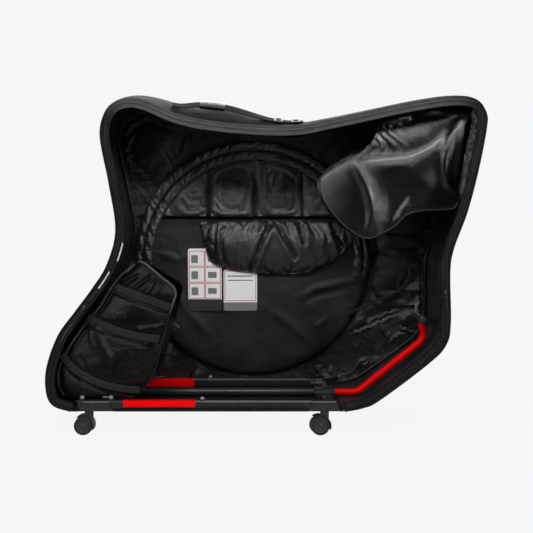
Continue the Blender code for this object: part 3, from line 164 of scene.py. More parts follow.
def new_piece(name, vertices, faces, finish, uv=None, **tie):
    """A closed mesh as a piece, with its own UV map where a pattern follows the surface."""
    mesh = bpy.data.meshes.new(name)
    mesh.from_pydata([tuple(v) for v in vertices], [], faces)
    if uv is not None:
        layer = mesh.uv_layers.new(name="cloth")
        index = np.zeros(len(mesh.loops), int)
        mesh.loops.foreach_get("vertex_index", index)
        layer.data.foreach_set("uv", np.asarray(uv, float)[index].ravel())
    face_outwards(mesh)
    print(name, len(faces), "faces")
    return dress(in_scene(name, mesh), finish, **tie)


def with_modifiers_applied(obj):
    """The object again, with its modifiers made part of its mesh."""
    graph = bpy.context.evaluated_depsgraph_get()
    made = bpy.data.meshes.new_from_object(obj.evaluated_get(graph))
    obj.modifiers.clear()
    obj.data = made
    return obj


# %% A shell between two grids of points
def grid_faces(rows, columns, start=0):
    """The faces of a grid whose points are numbered row by row."""
    faces = []
    for r in range(rows - 1):
        for c in range(columns - 1):
            i = start + r * columns + c
            faces.append((i, i + 1, i + columns + 1, i + columns))
    return faces


def shell_between(name, outer, inner, finish, uv, **tie):
    """A closed shell between two grids of points of the same size."""
    rows, columns = outer.shape[:2]
    count = rows * columns
    faces = grid_faces(rows, columns) + [f[::-1] for f in grid_faces(rows, columns, count)]
    border = [c for c in range(columns)] + [r * columns + columns - 1 for r in range(1, rows)]
    border += [(rows - 1) * columns + c for c in range(columns - 2, -1, -1)]
    border += [r * columns for r in range(rows - 2, 0, -1)]
    for a, b in zip(border, border[1:] + border[:1]):
        faces.append((b, a, a + count, b + count))
    points = np.concatenate([outer.reshape(-1, 3), inner.reshape(-1, 3)])
    return new_piece(name, points, faces, finish, np.concatenate([uv.reshape(-1, 2)] * 2), **tie)


# %% A section swept along a line
def tube_faces(count, ring):
    """The faces of a tube of rings of points, with both its ends closed."""
    faces = []
    for i in range(count - 1):
        for j in range(ring):
            a, b = i * ring + j, i * ring + (j + 1) % ring
            faces.append((a, b, b + ring, a + ring))
    last = (count - 1) * ring
    return [*faces, tuple(range(ring))[::-1], tuple(range(last, last + ring))]


def tube(name, rings, along_tube, section, finish, **tie):
    """A closed tube from its rings of points, with a UV map in metres."""
    uv = np.stack(np.meshgrid(along_tube, lengths_along(section), indexing="ij"), axis=2)
    faces = tube_faces(*rings.shape[:2])
    return new_piece(name, rings.reshape(-1, 3), faces, finish, uv.reshape(-1, 2), **tie)


def swept(name, path, ups, section, finish, scale=1.0, **tie):
    """A section along a path. Its points are (side, up) in metres. Ups point out of the path."""
    path, section = np.array(path, float), np.array(section, float)
    tangent = unit(np.gradient(path, axis=0))
    up = np.broadcast_to(np.array(ups, float), path.shape)
    up = unit(up - tangent * np.sum(up * tangent, axis=1)[:, None])
    side = np.cross(tangent, up)
    size = np.broadcast_to(scale, len(path))[:, None, None]
    rings = path[:, None] + side[:, None] * section[None, :, 0:1] * size
    rings = rings + up[:, None] * section[None, :, 1:2] * size
    return tube(name, rings, lengths_along(path), section, finish, **tie)


def round_section(radius, count=12):
    angles = np.arange(count) * 2 * math.pi / count
    return np.stack([np.cos(angles), np.sin(angles)], axis=1) * radius


def tape_section(width, thickness, crown=0.0, count=6):
    """A flat tape's section with soft edges, standing on zero."""
    half, low, edge = width / 2, thickness / 2, thickness / 3
    side = np.linspace(-1, 1, count + 1)
    top = thickness + crown * (1 - side**2)
    points = [(s * width / 2, t) for s, t in zip(side, top)]
    points[0] = (edge - half, top[0])
    points[-1] = (half - edge, top[-1])
    return [(-half, low), *points, (half, low), (half - edge, 0), (edge - half, 0)]


# %% Tools for lines and polygons
def inside(points, polygon):
    """Which points lie inside a polygon."""
    x, y = points[:, 0], points[:, 1]
    within = np.zeros(len(points), bool)
    for (x1, y1), (x2, y2) in zip(polygon, np.roll(polygon, -1, axis=0)):
        crosses = (y1 > y) != (y2 > y)
        if y1 != y2:
            within ^= crosses & (x < (x2 - x1) * (y - y1) / (y2 - y1) + x1)
    return within


def distance_to(points, line):
    """The distance from each point to a line of points, and how far along the line that is."""
    points, line = np.array(points, float), np.array(line, float)
    best = np.full(len(points), 1e9)
    where = np.zeros(len(points))
    for a, b, s in zip(line, line[1:], lengths_along(line)):
        ab = b - a
        t = np.clip(((points - a) @ ab) / max(ab @ ab, 1e-12), 0, 1)
        d = np.linalg.norm(points - a - t[:, None] * ab, axis=1)
        nearer = d < best
        best[nearer] = d[nearer]
        where[nearer] = s + t[nearer] * np.linalg.norm(ab)
    return best, where


def nearest_of(points, lines):
    """The distance from each point to the nearest of some lines."""
    return np.min([distance_to(points, line)[0] for line in lines], axis=0)


def resampled(polygon, spacing, closed=False):
    """The same line with points at an even spacing."""
    line = np.vstack([polygon, polygon[:1]]) if closed else np.array(polygon, float)
    far = lengths_along(line)
    count = max(int(round(far[-1] / spacing)), 3)
    at = np.linspace(0, far[-1], count + 1)
    even = np.stack([np.interp(at, far, line[:, k]) for k in range(line.shape[1])], axis=1)
    return even[:-1] if closed else even


def smoothed(values, reach):
    """A mean over each value and its neighbours, with the end values held."""
    width = 2 * reach + 1
    return np.convolve(np.pad(values, reach, mode="edge"), np.ones(width) / width, mode="valid")


# %% A flat panel that gets two layers
class Panel:
    """A polygon filled with triangles on an even grid. Its first rim points run round its edge."""

    def __init__(self, polygon, spacing):
        edge = resampled(np.array(polygon, float), spacing, closed=True)
        low, high = edge.min(0), edge.max(0)
        step = spacing * math.sqrt(3) / 2
        grid = []
        for r, z in enumerate(np.arange(low[1] + step / 2, high[1], step)):
            for x in np.arange(low[0] + (r % 2) * spacing / 2, high[0], spacing):
                grid.append((x, z))
        grid = np.array(grid)
        grid = grid[inside(grid, edge)]
        apart, _ = distance_to(grid, np.vstack([edge, edge[:1]]))
        grid = grid[apart > spacing * 0.55]
        points = [Vector(p) for p in np.vstack([edge, grid])]
        loop = [(i, (i + 1) % len(edge)) for i in range(len(edge))]
        made = delaunay_2d_cdt(points, loop, [], 1, 1e-7)
        self.spots = np.array([tuple(p) for p in made[0]])
        self.triangles = [tuple(f) for f in made[2]]
        self.rim = len(edge)

    def to_edge(self):
        """The distance from each spot to the panel's edge."""
        return distance_to(self.spots, np.vstack([self.spots[: self.rim], self.spots[:1]]))[0]

    def layer(self, place, height):
        """The spots at a height, or at one height each, or as simulated with a full place each."""
        if np.ndim(height) == 2:
            return [place(p, p[2]) for p in height]
        return [place(p, h) for p, h in zip(self.spots, np.broadcast_to(height, len(self.spots)))]

    def sheet(self, name, place, front, back, finish, **tie):
        """A closed piece of two layers, joined round the panel's edge."""
        count = len(self.spots)
        faces = self.triangles + [tuple(i + count for i in f[::-1]) for f in self.triangles]
        for i in range(self.rim):
            k = (i + 1) % self.rim
            faces.append((i, k, k + count, i + count))
        points = self.layer(place, front) + self.layer(place, back)
        return new_piece(name, points, faces, finish, np.concatenate([self.spots] * 2), **tie)


def far_place(p, h):
    """A point of the far plane, by X and rise up the slope, at a height towards the open side."""
    rise = p[1] * math.cos(LEAN)
    y = HALF_BASE - p[1] * math.sin(LEAN) - h * math.cos(LEAN)
    return (p[0], y, BASE_Z + rise - h * math.sin(LEAN))


# %% Patterns for creases and swells
def laid(*axes):
    """Points from their axes, each a grid, a row or one number for all."""
    return np.stack(np.broadcast_arrays(*axes), axis=-1)


def sampled(points, scale, seed, pattern):
    """A pattern at points given in metres and stretched by scale. Each seed starts elsewhere."""
    offset = Vector((seed * 7.13, seed * 3.71, seed * 5.37))
    flat = points.reshape(-1, 3)
    values = [pattern(Vector([a * b for a, b in zip(p, scale)]) + offset) for p in flat]
    return np.array(values).reshape(points.shape[:-1])


def ridges(points, scale, seed, detail=3):
    """Sharp creases, from 0 to about 1."""

    def pattern(spot):
        return noise.ridged_multi_fractal(spot, 1.0, 2.1, detail, 1.0, 2.0) / 2

    return sampled(points, scale, seed, pattern)


def waves(points, scale, seed, detail=3):
    """Soft swells, from about -1 to 1."""
    return sampled(points, scale, seed, lambda spot: noise.fractal(spot, 1.0, 2.0, detail))


def bell(distance, reach):
    return np.exp(-((np.asarray(distance) / reach) ** 2))


def along_fold(where, line, margin, power):
    """A fold's strength along its line: full half way, and fading to what is left at its ends."""
    share = np.clip(where / lengths_along(line)[-1], margin, 1 - margin)
    return np.sin(math.pi * share) ** power


def folded(spots, folds, margin, power):
    """The relief of some folds together, each given as a line, a height and a reach."""
    relief = 0.0
    for line, height, reach in folds:
        away, where = distance_to(spots, line)
        relief = relief + height * bell(away, reach) * along_fold(where, line, margin, power)
    return relief

# %% [markdown]
# ## Writing a finish as sums on sockets
#
# A material is a tree of nodes, and most of its nodes only add, multiply or bend a number. One
# small class wraps a socket, so that such maths reads as it does on paper. A finish then starts
# from the colour of the real material and adds what the eye looks for: weave, creases, scuffs.
# Whatever changes over the surface goes to colour, roughness or bump only.


# %% A socket that can be added and multiplied
class Wire:
    """A socket of a finish, with arithmetic."""

    def __init__(self, tree, socket):
        self.tree = tree
        self.socket = socket

    def math(self, operation, *values):
        node = self.tree.nodes.new("ShaderNodeMath")
        node.operation = operation
        for socket, value in zip(node.inputs, values):
            if isinstance(value, Wire):
                self.tree.links.new(value.socket, socket)
            else:
                socket.default_value = value
        return Wire(self.tree, node.outputs[0])

    def __add__(self, other):
        return self.math("ADD", self, other)

    def __rsub__(self, other):
        return self.math("SUBTRACT", other, self)

    def __mul__(self, other):
        return self.math("MULTIPLY", self, other)

    def __pow__(self, other):
        return self.math("POWER", self, other)

    def __abs__(self):
        return self.math("ABSOLUTE", self)

    __radd__ = __add__
    __rmul__ = __mul__

    def wave(self, length):
        """A sine of this number, once for each length."""
        return self.math("SINE", self * (2 * math.pi / length))

    def below(self, edge):
        return self.math("LESS_THAN", self, edge)

    def over(self, edge):
        return self.math("GREATER_THAN", self, edge)

    def at_least(self, other):
        return self.math("MAXIMUM", self, other)

    def at_most(self, other):
        return self.math("MINIMUM", self, other)


# %% A finish and the nodes it is built from
class Finish:
    """One material under construction."""

    def __init__(self, name, color, roughness, metallic=0.0, **fixed):
        self.material = bpy.data.materials.new(name)
        self.material.use_nodes = True
        self.material.diffuse_color = (*color, 1.0)
        self.tree = self.material.node_tree
        self.shader = self.tree.nodes["Principled BSDF"]
        self.shader.inputs["Base Color"].default_value = (*color, 1.0)
        self.shader.inputs["Roughness"].default_value = roughness
        self.shader.inputs["Metallic"].default_value = metallic
        for key, value in fixed.items():
            socket = key.replace("_", " ").title().replace("Ior", "IOR")
            self.shader.inputs[socket].default_value = value

    def node(self, kind, settings, sockets, output=0):
        """A node of a type, with its settings first and then its sockets' values or links."""
        node = self.tree.nodes.new(kind)
        for key, value in settings.items():
            setattr(node, key, value)
        for key, value in sockets.items():
            if isinstance(value, Wire):
                self.tree.links.new(value.socket, node.inputs[key])
            else:
                node.inputs[key].default_value = value
        return Wire(self.tree, node.outputs[output])

    def feed(self, socket, wire):
        self.tree.links.new(wire.socket, self.shader.inputs[socket])

    def place(self, kind="Object"):
        return self.node("ShaderNodeTexCoord", {}, {}, kind)

    def stretched(self, vector, scale):
        return self.node("ShaderNodeMapping", {}, {"Vector": vector, "Scale": scale})

    def axes(self, vector):
        """The three numbers of a vector."""
        first = self.node("ShaderNodeSeparateXYZ", {}, {"Vector": vector})
        return [Wire(self.tree, socket) for socket in first.socket.node.outputs]

    def noise(self, vector, scale, detail=3.0, kind="FBM", distortion=0.0):
        sockets = {"Vector": vector, "Scale": scale, "Detail": detail, "Distortion": distortion}
        return self.node("ShaderNodeTexNoise", {"noise_type": kind}, sockets, "Fac")

    def between(self, wire, low, high, start=0.0, end=1.0):
        """A number taken smoothly from one range to another."""
        sockets = {"Value": wire, "From Min": low, "From Max": high, "To Min": start, "To Max": end}
        return self.node("ShaderNodeMapRange", {"interpolation_type": "SMOOTHSTEP"}, sockets)

    def mixed(self, mask, first, second):
        """A colour between two, by a mask. Either may be a colour or a wire."""
        ends = [end if isinstance(end, Wire) else (*end, 1.0) for end in (first, second)]
        sockets = {0: mask, 6: ends[0], 7: ends[1]}
        return self.node("ShaderNodeMix", {"data_type": "RGBA"}, sockets, 2)

    def bump(self, height, distance, strength=1.0):
        """Relief, with its depth in metres. A second call adds to the first."""
        sockets = {"Height": height, "Distance": distance, "Strength": strength}
        link = self.shader.inputs["Normal"].links
        if link:
            sockets["Normal"] = Wire(self.tree, link[0].from_socket)
        self.feed("Normal", self.node("ShaderNodeBump", {}, sockets, "Normal"))


def grey(value, blue):
    """A grey with its own blue, because black dyes lean towards blue."""
    return (value, value, blue)


# %% [markdown]
# ## The finishes
#
# Black fabrics only look like fabrics by their sheen and relief. The shell is a matt woven
# polyester, the lining a thin satin nylon that throws small highlights from every crease, and the
# cover and the pouch are coated and glossier. The metal is anodised: fine scratches and a little
# grime in the roughness keep it from looking like plastic.


# %% A woven fabric
def cloth(name, color, roughness, crease=0.0, pitch=0.0012, kind="UV", glint=0.35, **fixed):
    """A fabric with a plain weave, a mottled wear and soft creases in its relief."""
    made = Finish(name, color, roughness, **fixed)
    u, v, _ = made.axes(made.place(kind))
    weave = u.wave(pitch) * v.wave(pitch) * 0.5 + 0.5
    made.bump(weave, 0.00025, 0.6)
    where = made.place()
    blot = made.noise(where, 9.0, 4.0)
    dust = made.noise(where, 160.0, 2.0)
    pale = tuple(c * 1.8 + 0.001 for c in color)
    dark = tuple(c * 0.72 for c in color)
    tone = made.between(blot + dust * 0.35 + weave * 0.12, 0.45, 1.0)
    made.feed("Base Color", made.mixed(tone, dark, pale))
    smooth, dull = roughness - glint * 0.2, roughness + glint * 0.25
    made.feed("Roughness", made.between(blot, 0.25, 0.75, smooth, dull))
    if crease:
        folds = made.noise(where, 22.0, 5.0, distortion=1.4)
        fine = made.noise(where, 75.0, 3.0, distortion=0.8)
        made.bump(folds + fine * 0.35, crease)
    return made


# %% The bag's own fabrics, from the outer shell to the piping
shell_fabric = cloth(
    "shell_polyester", grey(0.0060, 0.0064), 0.54, 0.0012, specular_ior_level=0.11)
lining_fabric = cloth(
    "lining_satin", grey(0.0080, 0.0085), 0.34, 0.0040, 0.0009, specular_ior_level=0.50)
# The wall's inner lining is the far lining's satin painted about twice as pale, as painted light.
wall_lining_painted_light = cloth(
    "wall_lining_painted_light", grey(0.0150, 0.0157), 0.36, 0.0040, 0.0009, specular_ior_level=0.50)
gathered_fabric = cloth(
    "lining_gathered", grey(0.0100, 0.0105), 0.30, 0.0150, 0.0009, specular_ior_level=0.90)
pocket_fabric = cloth(
    "pocket_nylon", grey(0.0130, 0.0136), 0.42, 0.0018, 0.0010, specular_ior_level=0.32)
quilt_fabric = cloth(
    "quilted_satin", grey(0.0165, 0.0172), 0.33, 0.0028, 0.0009, specular_ior_level=0.95)
roll_fabric = cloth(
    "roll_satin", grey(0.0070, 0.0075), 0.29, 0.0028, 0.0009, specular_ior_level=1.0,
    coat_weight=0.15, coat_roughness=0.22)
pouch_fabric = cloth(
    "pouch_nylon", grey(0.0014, 0.0015), 0.33, 0.0026, 0.0011, specular_ior_level=0.22)
cover_vinyl = cloth(
    "cover_vinyl", grey(0.0006, 0.0007), 0.215, 0.0002, 0.0014, glint=0.03, specular_ior_level=1.0,
    coat_weight=0.30, coat_roughness=0.17)
floor_fabric = cloth(
    "floor_polyester", grey(0.0080, 0.0085), 0.58, 0.0010, 0.0014, "Object",
    specular_ior_level=0.25)
piping_cord = cloth("piping", grey(0.0060, 0.0064), 0.42, 0.0, 0.0016, specular_ior_level=0.30)
hem_piping = cloth("hem_piping", grey(0.0200, 0.0210), 0.38, 0.0, 0.0016, specular_ior_level=0.30)


# %% Tapes and webbing
def pouch_tape():
    """The pouch's binding: pale round its peak and its rear edge, and black lower down."""
    made = cloth("binding_tape", (0.050, 0.051, 0.054), 0.75, 0.0, 0.0014, glint=0.1,
                 specular_ior_level=0.10)
    x, _, z = made.axes(made.place())
    pale = made.between(z, 0.315, 0.355).at_least(made.between(x, -0.44, -0.40, 1.0, 0.0))
    worn = made.noise(made.place(), 60.0, 4.0)
    faded = made.mixed(worn, (0.0380, 0.0385, 0.0400), (0.0900, 0.0910, 0.0940))
    made.feed("Base Color", made.mixed(pale, grey(0.0045, 0.0048), faded))
    return made


def rim_binding_painted_lit_top():
    """The rim's tape: black down its sides, and grey over the top as painted light from above."""
    made = cloth("rim_binding_painted_lit_top", grey(0.020, 0.021), 0.68, 0.0012, 0.0018, glint=0.2,
                 specular_ior_level=0.12)
    u, _, _ = made.axes(made.place("UV"))
    # Painted light: the stretch over the top is painted grey, as if lit from above; the sides stay
    # black.
    after_rear = made.between(u, along[REAR_SEAM - 14], along[REAR_SEAM + 10])
    before_front = made.between(u, along[FRONT_SEAM - 14], along[FRONT_SEAM + 6], 1.0, 0.0)
    worn = made.noise(made.stretched(made.place(), (1.0, 3.0, 3.0)), 34.0, 4.0)
    dark = made.mixed(worn, grey(0.0030, 0.0033), grey(0.0085, 0.0090))
    pale = made.mixed(worn, (0.0330, 0.0337, 0.0350), (0.0950, 0.0970, 0.1010))
    made.feed("Base Color", made.mixed(after_rear * before_front, dark, pale))
    return made


def ribbed_webbing():
    """Webbing: ribs across its width, which bend into a herringbone along its middle."""
    made = Finish("woven_webbing", grey(0.016, 0.017), 0.72, specular_ior_level=0.12)
    u, v, _ = made.axes(made.place("UV"))
    ribs = (u + abs(v.wave(0.012)) * 0.0015).wave(0.0022) * 0.5 + 0.5
    made.bump(ribs, 0.0004, 0.8)
    tone = made.between(ribs + made.noise(made.place(), 30.0) * 0.8, 0.4, 1.4)
    made.feed("Base Color", made.mixed(tone, grey(0.0080, 0.0085), grey(0.0260, 0.0275)))
    return made


# %% The tapes, the thread and the zip's coil
binding_tape = pouch_tape()
rim_fabric = rim_binding_painted_lit_top()
webbing = ribbed_webbing()
thread = Finish("sewing_thread", (0.040, 0.041, 0.044), 0.50)
twist = thread.noise(thread.place(), 700.0)
thread.feed("Base Color", thread.mixed(twist, grey(0.018, 0.020), (0.075, 0.076, 0.080)))
# Reflective piping, pale only in the rim's short dashes where it catches light: painted glints.
glinting_reflector = Finish("reflective_piping_glint", (0.62, 0.63, 0.65), 0.30, 0.3)
beads = glinting_reflector.noise(glinting_reflector.place(), 400.0)
glinting_reflector.feed("Roughness", glinting_reflector.between(beads, 0.3, 0.7, 0.22, 0.42))
zip_coil = Finish("zip_coil", grey(0.012, 0.013), 0.36)
wear = zip_coil.noise(zip_coil.place(), 300.0)
zip_coil.feed("Roughness", zip_coil.between(wear, 0.3, 0.7, 0.28, 0.48))


# %% Metals and plastics
def metal(name, color, roughness, metallic, scratch=0.12, grain=(1.0, 30.0, 30.0), pitted=0.0,
          **fixed):
    """Metal with a drawn grain, fine scratches and handling marks."""
    made = Finish(name, color, roughness, metallic, **fixed)
    where = made.place()
    lines = made.noise(made.stretched(where, grain), 60.0, 4.0)
    marks = made.noise(where, 26.0, 5.0)
    smooth, dull = roughness - scratch * 0.6, roughness + scratch
    made.feed("Roughness", made.between(lines * 0.5 + marks * 0.5, 0.35, 0.68, smooth, dull))
    worn = made.between(made.noise(where, 90.0, 6.0, "RIDGED_MULTIFRACTAL"), 0.75, 1.3)
    pale = tuple(min(c * 1.5 + 0.002, 1.0) for c in color)
    made.feed("Base Color", made.mixed(worn * 0.5, color, pale))
    made.bump(lines + marks * 0.5, 0.00008, 0.5)
    if pitted:
        made.bump(made.noise(where, 900.0, 2.0), pitted, 0.6)
    return made


def molded(name, color, roughness, pitted):
    """A hard plastic, pitted as its mould was."""
    return metal(name, color, roughness, 0.0, 0.10, (1, 1, 1), pitted, specular_ior_level=0.35)


def anodised_black_painted_highlights():
    """Black metal, with painted highlights along the rails' upper edges and on the bolts' heads."""
    made = metal("black_anodised_painted_highlights", grey(0.034, 0.036), 0.34, 0.4, specular_ior_level=0.5)
    x, y, z = made.axes(made.place())
    # Painted highlights: pale bands on the rails' upper edges and on the bolt heads.
    on_rails = made.between(abs(y), 0.165, 0.170)
    upper_edge = made.between(z, 0.0880, 0.0886) * made.between(z, 0.0904, 0.0910, 1.0, 0.0)
    painted_edge_highlight = upper_edge * (on_rails * 0.75 + 0.25)
    behind_bracket = made.between(x, 0.104, 0.107, 1.0, 0.0)
    painted_bolt_highlight = on_rails * made.between(z, 0.0945, 0.0955) * behind_bracket
    marks = made.noise(made.place(), 90.0, 6.0)
    rubbed = made.mixed(marks, grey(0.018, 0.019), grey(0.036, 0.038))
    # The pale grey mixed in here is the painted highlight.
    painted_highlights = painted_edge_highlight.at_least(painted_bolt_highlight)
    made.feed("Base Color", made.mixed(painted_highlights, rubbed, grey(0.21, 0.22)))
    return made


# %% The metals and plastics of the stand, and which slot takes which finish
black_metal = anodised_black_painted_highlights()
red_metal = metal("red_anodised", (0.780, 0.0008, 0.0015), 0.36, 0.0, 0.08, specular_ior_level=0.07)
bright_metal = metal("satin_steel", grey(0.30, 0.31), 0.30, 1.0)
gun_metal = metal("gunmetal", grey(0.055, 0.058), 0.34, 0.8)
caster_plastic = molded("caster_nylon", grey(0.014, 0.015), 0.46, 0.00012)
tread = molded("wheel_tread", grey(0.013, 0.014), 0.52, 0.00015)
hub_cap = molded("wheel_cap", grey(0.024, 0.026), 0.40, 0.00008)
finishes_by_slot = {
    "black_metal": black_metal,
    "red_metal": red_metal,
    "bright_metal": bright_metal,
    "caster_plastic": caster_plastic,
    "wheel_rubber": tread,
    "shell_fabric": floor_fabric,
    "webbing": webbing,
}
print("finishes", len(bpy.data.materials))

# %% [markdown]
# ## Refining the rigid parts
#
# The CAD nodes have the right shapes, but their edges are perfectly sharp, and a sharp edge never
# catches the light. A copy of each node is merged into one skin and given a small bevel, so that
# its edges show the thin highlight that real machined and bent parts have.


# %% Rigid parts
def refined(node, finish, edge):
    """A merged copy of a CAD node, with small rounded edges."""
    mesh = frame["nodes"][node].data.copy()
    mesh.name = node + "_fine"
    bm = bmesh.new()
    bm.from_mesh(mesh)
    bmesh.ops.remove_doubles(bm, verts=bm.verts, dist=0.00002)
    flat = math.radians(0.4)
    bmesh.ops.dissolve_limit(bm, angle_limit=flat, verts=bm.verts, edges=bm.edges)
    bm.to_mesh(mesh)
    bm.free()
    obj = in_scene(node + "_fine", mesh)
    bevel = obj.modifiers.new("edges", "BEVEL")
    bevel.width = edge
    bevel.segments = 2
    bevel.limit_method = "ANGLE"
    bevel.angle_limit = math.radians(38)
    bevel.harden_normals = False
    return dress(with_modifiers_applied(obj), finish, node)


stand_nodes = [
    "near_rail", "far_rail", "near_sleeve", "far_sleeve", "bracket_rear_near", "bracket_rear_far",
    "bracket_front_near", "bracket_front_far", "rear_cross_member", "front_cross_member",
    "center_tube", "rear_post", "front_hub", "rear_hub", "front_skewer", "rear_skewer",
    "slide_lever", "front_skewer_lever", "rear_skewer_lever", "zip_slider_rear",
    "zip_slider_front", "zip_pull_rear", "zip_pull_front", "handle_adjuster_front",
    "handle_adjuster_rear", "caster_rear_near_housing", "caster_rear_far_housing",
    "caster_front_near_housing", "caster_front_far_housing", "base_tray",
]
SMALL_EDGE, EDGE, RAIL_EDGE = 0.0003, 0.0006, 0.0034
for node in stand_nodes:
    small = "zip" in node or "adjuster" in node
    finish = gun_metal if small or "hub" in node else finishes_by_slot[slot_of[node]]
    refined(node, finish, SMALL_EDGE if small else RAIL_EDGE if node.endswith("rail") else EDGE)
print("refined", len(stand_nodes), "rigid parts")

# %% [markdown]
# ## The padded wall
#
# One band of padded fabric runs round the bag between its two sides. It is a shell: the outer skin
# follows the outline and bulges between its edges, the inner skin is a looser satin lining with
# creases. The wall is made as a fine grid of points, so the creases are real relief and the outline
# stays soft. It is cut at the two upper corners, where the real one has its seams.

# %% The wall's grid
ACROSS = 44
CROWN = 0.012
TOP_CROWN = 0.035
FAR_LIFT = 0.020
TOP_MIDDLE, TOP_REACH = -0.140, 0.180
MOUNT_X, MOUNT_REACH, MOUNT_CROWN = 0.2585, 0.050, 0.006
across = np.linspace(-1, 1, ACROSS + 1)


def crown_at(x, z):
    """How far the wall bulges half way across: most at the top, and under the sliding mount."""
    fade = np.clip((z - BASE_Z) / 0.016, 0, 1)
    low = fade * (CROWN + MOUNT_CROWN * bell(x - MOUNT_X, MOUNT_REACH))
    high = CROWN + TOP_CROWN * bell(x - TOP_MIDDLE, TOP_REACH)
    return np.where(z > BASE_Z + HEIGHT / 2, high, low)


def pushed(grid, amount):
    """The grid moved along the outline's outward normals."""
    moved = grid.copy()
    moved[:, :, 0] += outward[:, 0:1] * amount
    moved[:, :, 2] += outward[:, 1:2] * amount
    return moved


def wall_points(inset):
    """The wall's grid of points, station by station and across."""
    x, z = outline[:, 0:1], outline[:, 1:2]
    far_lift = np.where(z > BASE_Z + HEIGHT / 2, FAR_LIFT * bell(x - TOP_MIDDLE, TOP_REACH), 0)
    rise = crown_at(x, z) * (1 - across**2) + far_lift * (1 + across) / 2
    out = rise - inset
    px = x + outward[:, 0:1] * out
    pz = z + outward[:, 1:2] * out
    return np.stack([px, across * half_width(pz), pz], axis=2)


def at_seams(distance, reach):
    """Where a point lies at a distance from one of the wall's two seams."""
    gaps = [np.abs(station - along[seam]) for seam in (REAR_SEAM, FRONT_SEAM)]
    return bell(gaps[0] - distance, reach) + bell(gaps[1] - distance, reach)


# %% The wall's outer skin: swells, puckers, and two seams with a welt on both sides
SEAM_WIDTH, WELT_OFFSET = 0.004, 0.008
outer = wall_points(0.0)
shape = outer.shape[:2]
station = np.broadcast_to(along[:, None], shape)
edge = np.clip((1 - np.abs(across)) / 0.16, 0, 1)
swell = waves(outer, (6.0, 5.0, 6.0), 3)
puckers = ridges(outer, (9.0, 26.0, 9.0), 5)
skin = 0.0016 * swell * edge + 0.0010 * (puckers - 0.4) * edge
skin = skin - 0.0022 * at_seams(0, SEAM_WIDTH) + 0.0008 * at_seams(WELT_OFFSET, SEAM_WIDTH)
outer = pushed(outer, skin)

# %% The lining inside the wall, gathered in the upper front corner
GATHER_PITCH = 0.021
DEEPEST_PUFF = 0.012
inner = wall_points(WALL)
x, z = outline[:, 0:1], outline[:, 1:2]
soft = waves(inner, (5.0, 4.0, 5.0), 11)
creases = ridges(inner, (14.0, 7.0, 14.0), 12, 4)
loose = 1 - np.abs(across) ** 6
puff = 0.0035 * loose * (0.6 + 0.4 * soft) + 0.0050 * (creases - 0.35) * loose
upper_front = np.clip((x - 0.50) / 0.03, 0, 1) * np.clip((z - 0.50) / 0.06, 0, 1)
wander = 2.2 * np.sin(across * 5 + station * 31)
gathers = np.abs(np.sin(station * 2 * math.pi / GATHER_PITCH + wander))
gathered = 0.007 * gathers**0.7 + 0.002 * creases
puff = puff + upper_front * bell(across - 0.35, 0.5) * gathered
lower_front = np.clip((x - 0.20) / 0.05, 0, 1) * np.clip((0.50 - z) / 0.1, 0, 1)
puff = puff + lower_front * loose * 0.0035 * creases
on_base = np.clip((z - BASE_Z) / 0.05, 0, 1)
inner = pushed(inner, -np.clip(puff * on_base, 0, DEEPEST_PUFF))

# %% The wall's three panels
wall_uv = laid(station, across * 0.2)
for name, first, last, node in (
    ("wall_rear", 0, REAR_SEAM, "rear_gusset"),
    ("wall_top", REAR_SEAM, FRONT_SEAM, "top_gusset"),
    ("wall_front", FRONT_SEAM, len(outline) - 1, "front_gusset"),
):
    rows = slice(first, last + 1)
    piece = shell_between(name, outer[rows], inner[rows], shell_fabric, wall_uv[rows], node=node)
    # The inner skin's satin is painted paler than the far lining, as painted light.
    piece.data.materials.append(wall_lining_painted_light.material)
    piece.data.materials.append(gathered_fabric.material)
    outer_count = (last + 1 - first) * shape[1]
    for face in piece.data.polygons:
        if min(face.vertices) >= outer_count:
            high_near = face.center[2] > 0.52 and face.center[1] < 0.02
            face.material_index = 2 if name == "wall_front" and high_near else 1

# %% [markdown]
# ## Seam tapes, piping and the zip
#
# On the near edge of the wall a binding tape covers the foam's cut edge, with a piping along its
# outer side, and the zip's chain is sewn on it. It is one profile that follows the outline. The far
# edge has a corded piping. The zip's teeth and the stitches repeat hundreds of times, so Geometry
# Nodes set them along the same line, at a spacing and with a size that are inputs of the tree.


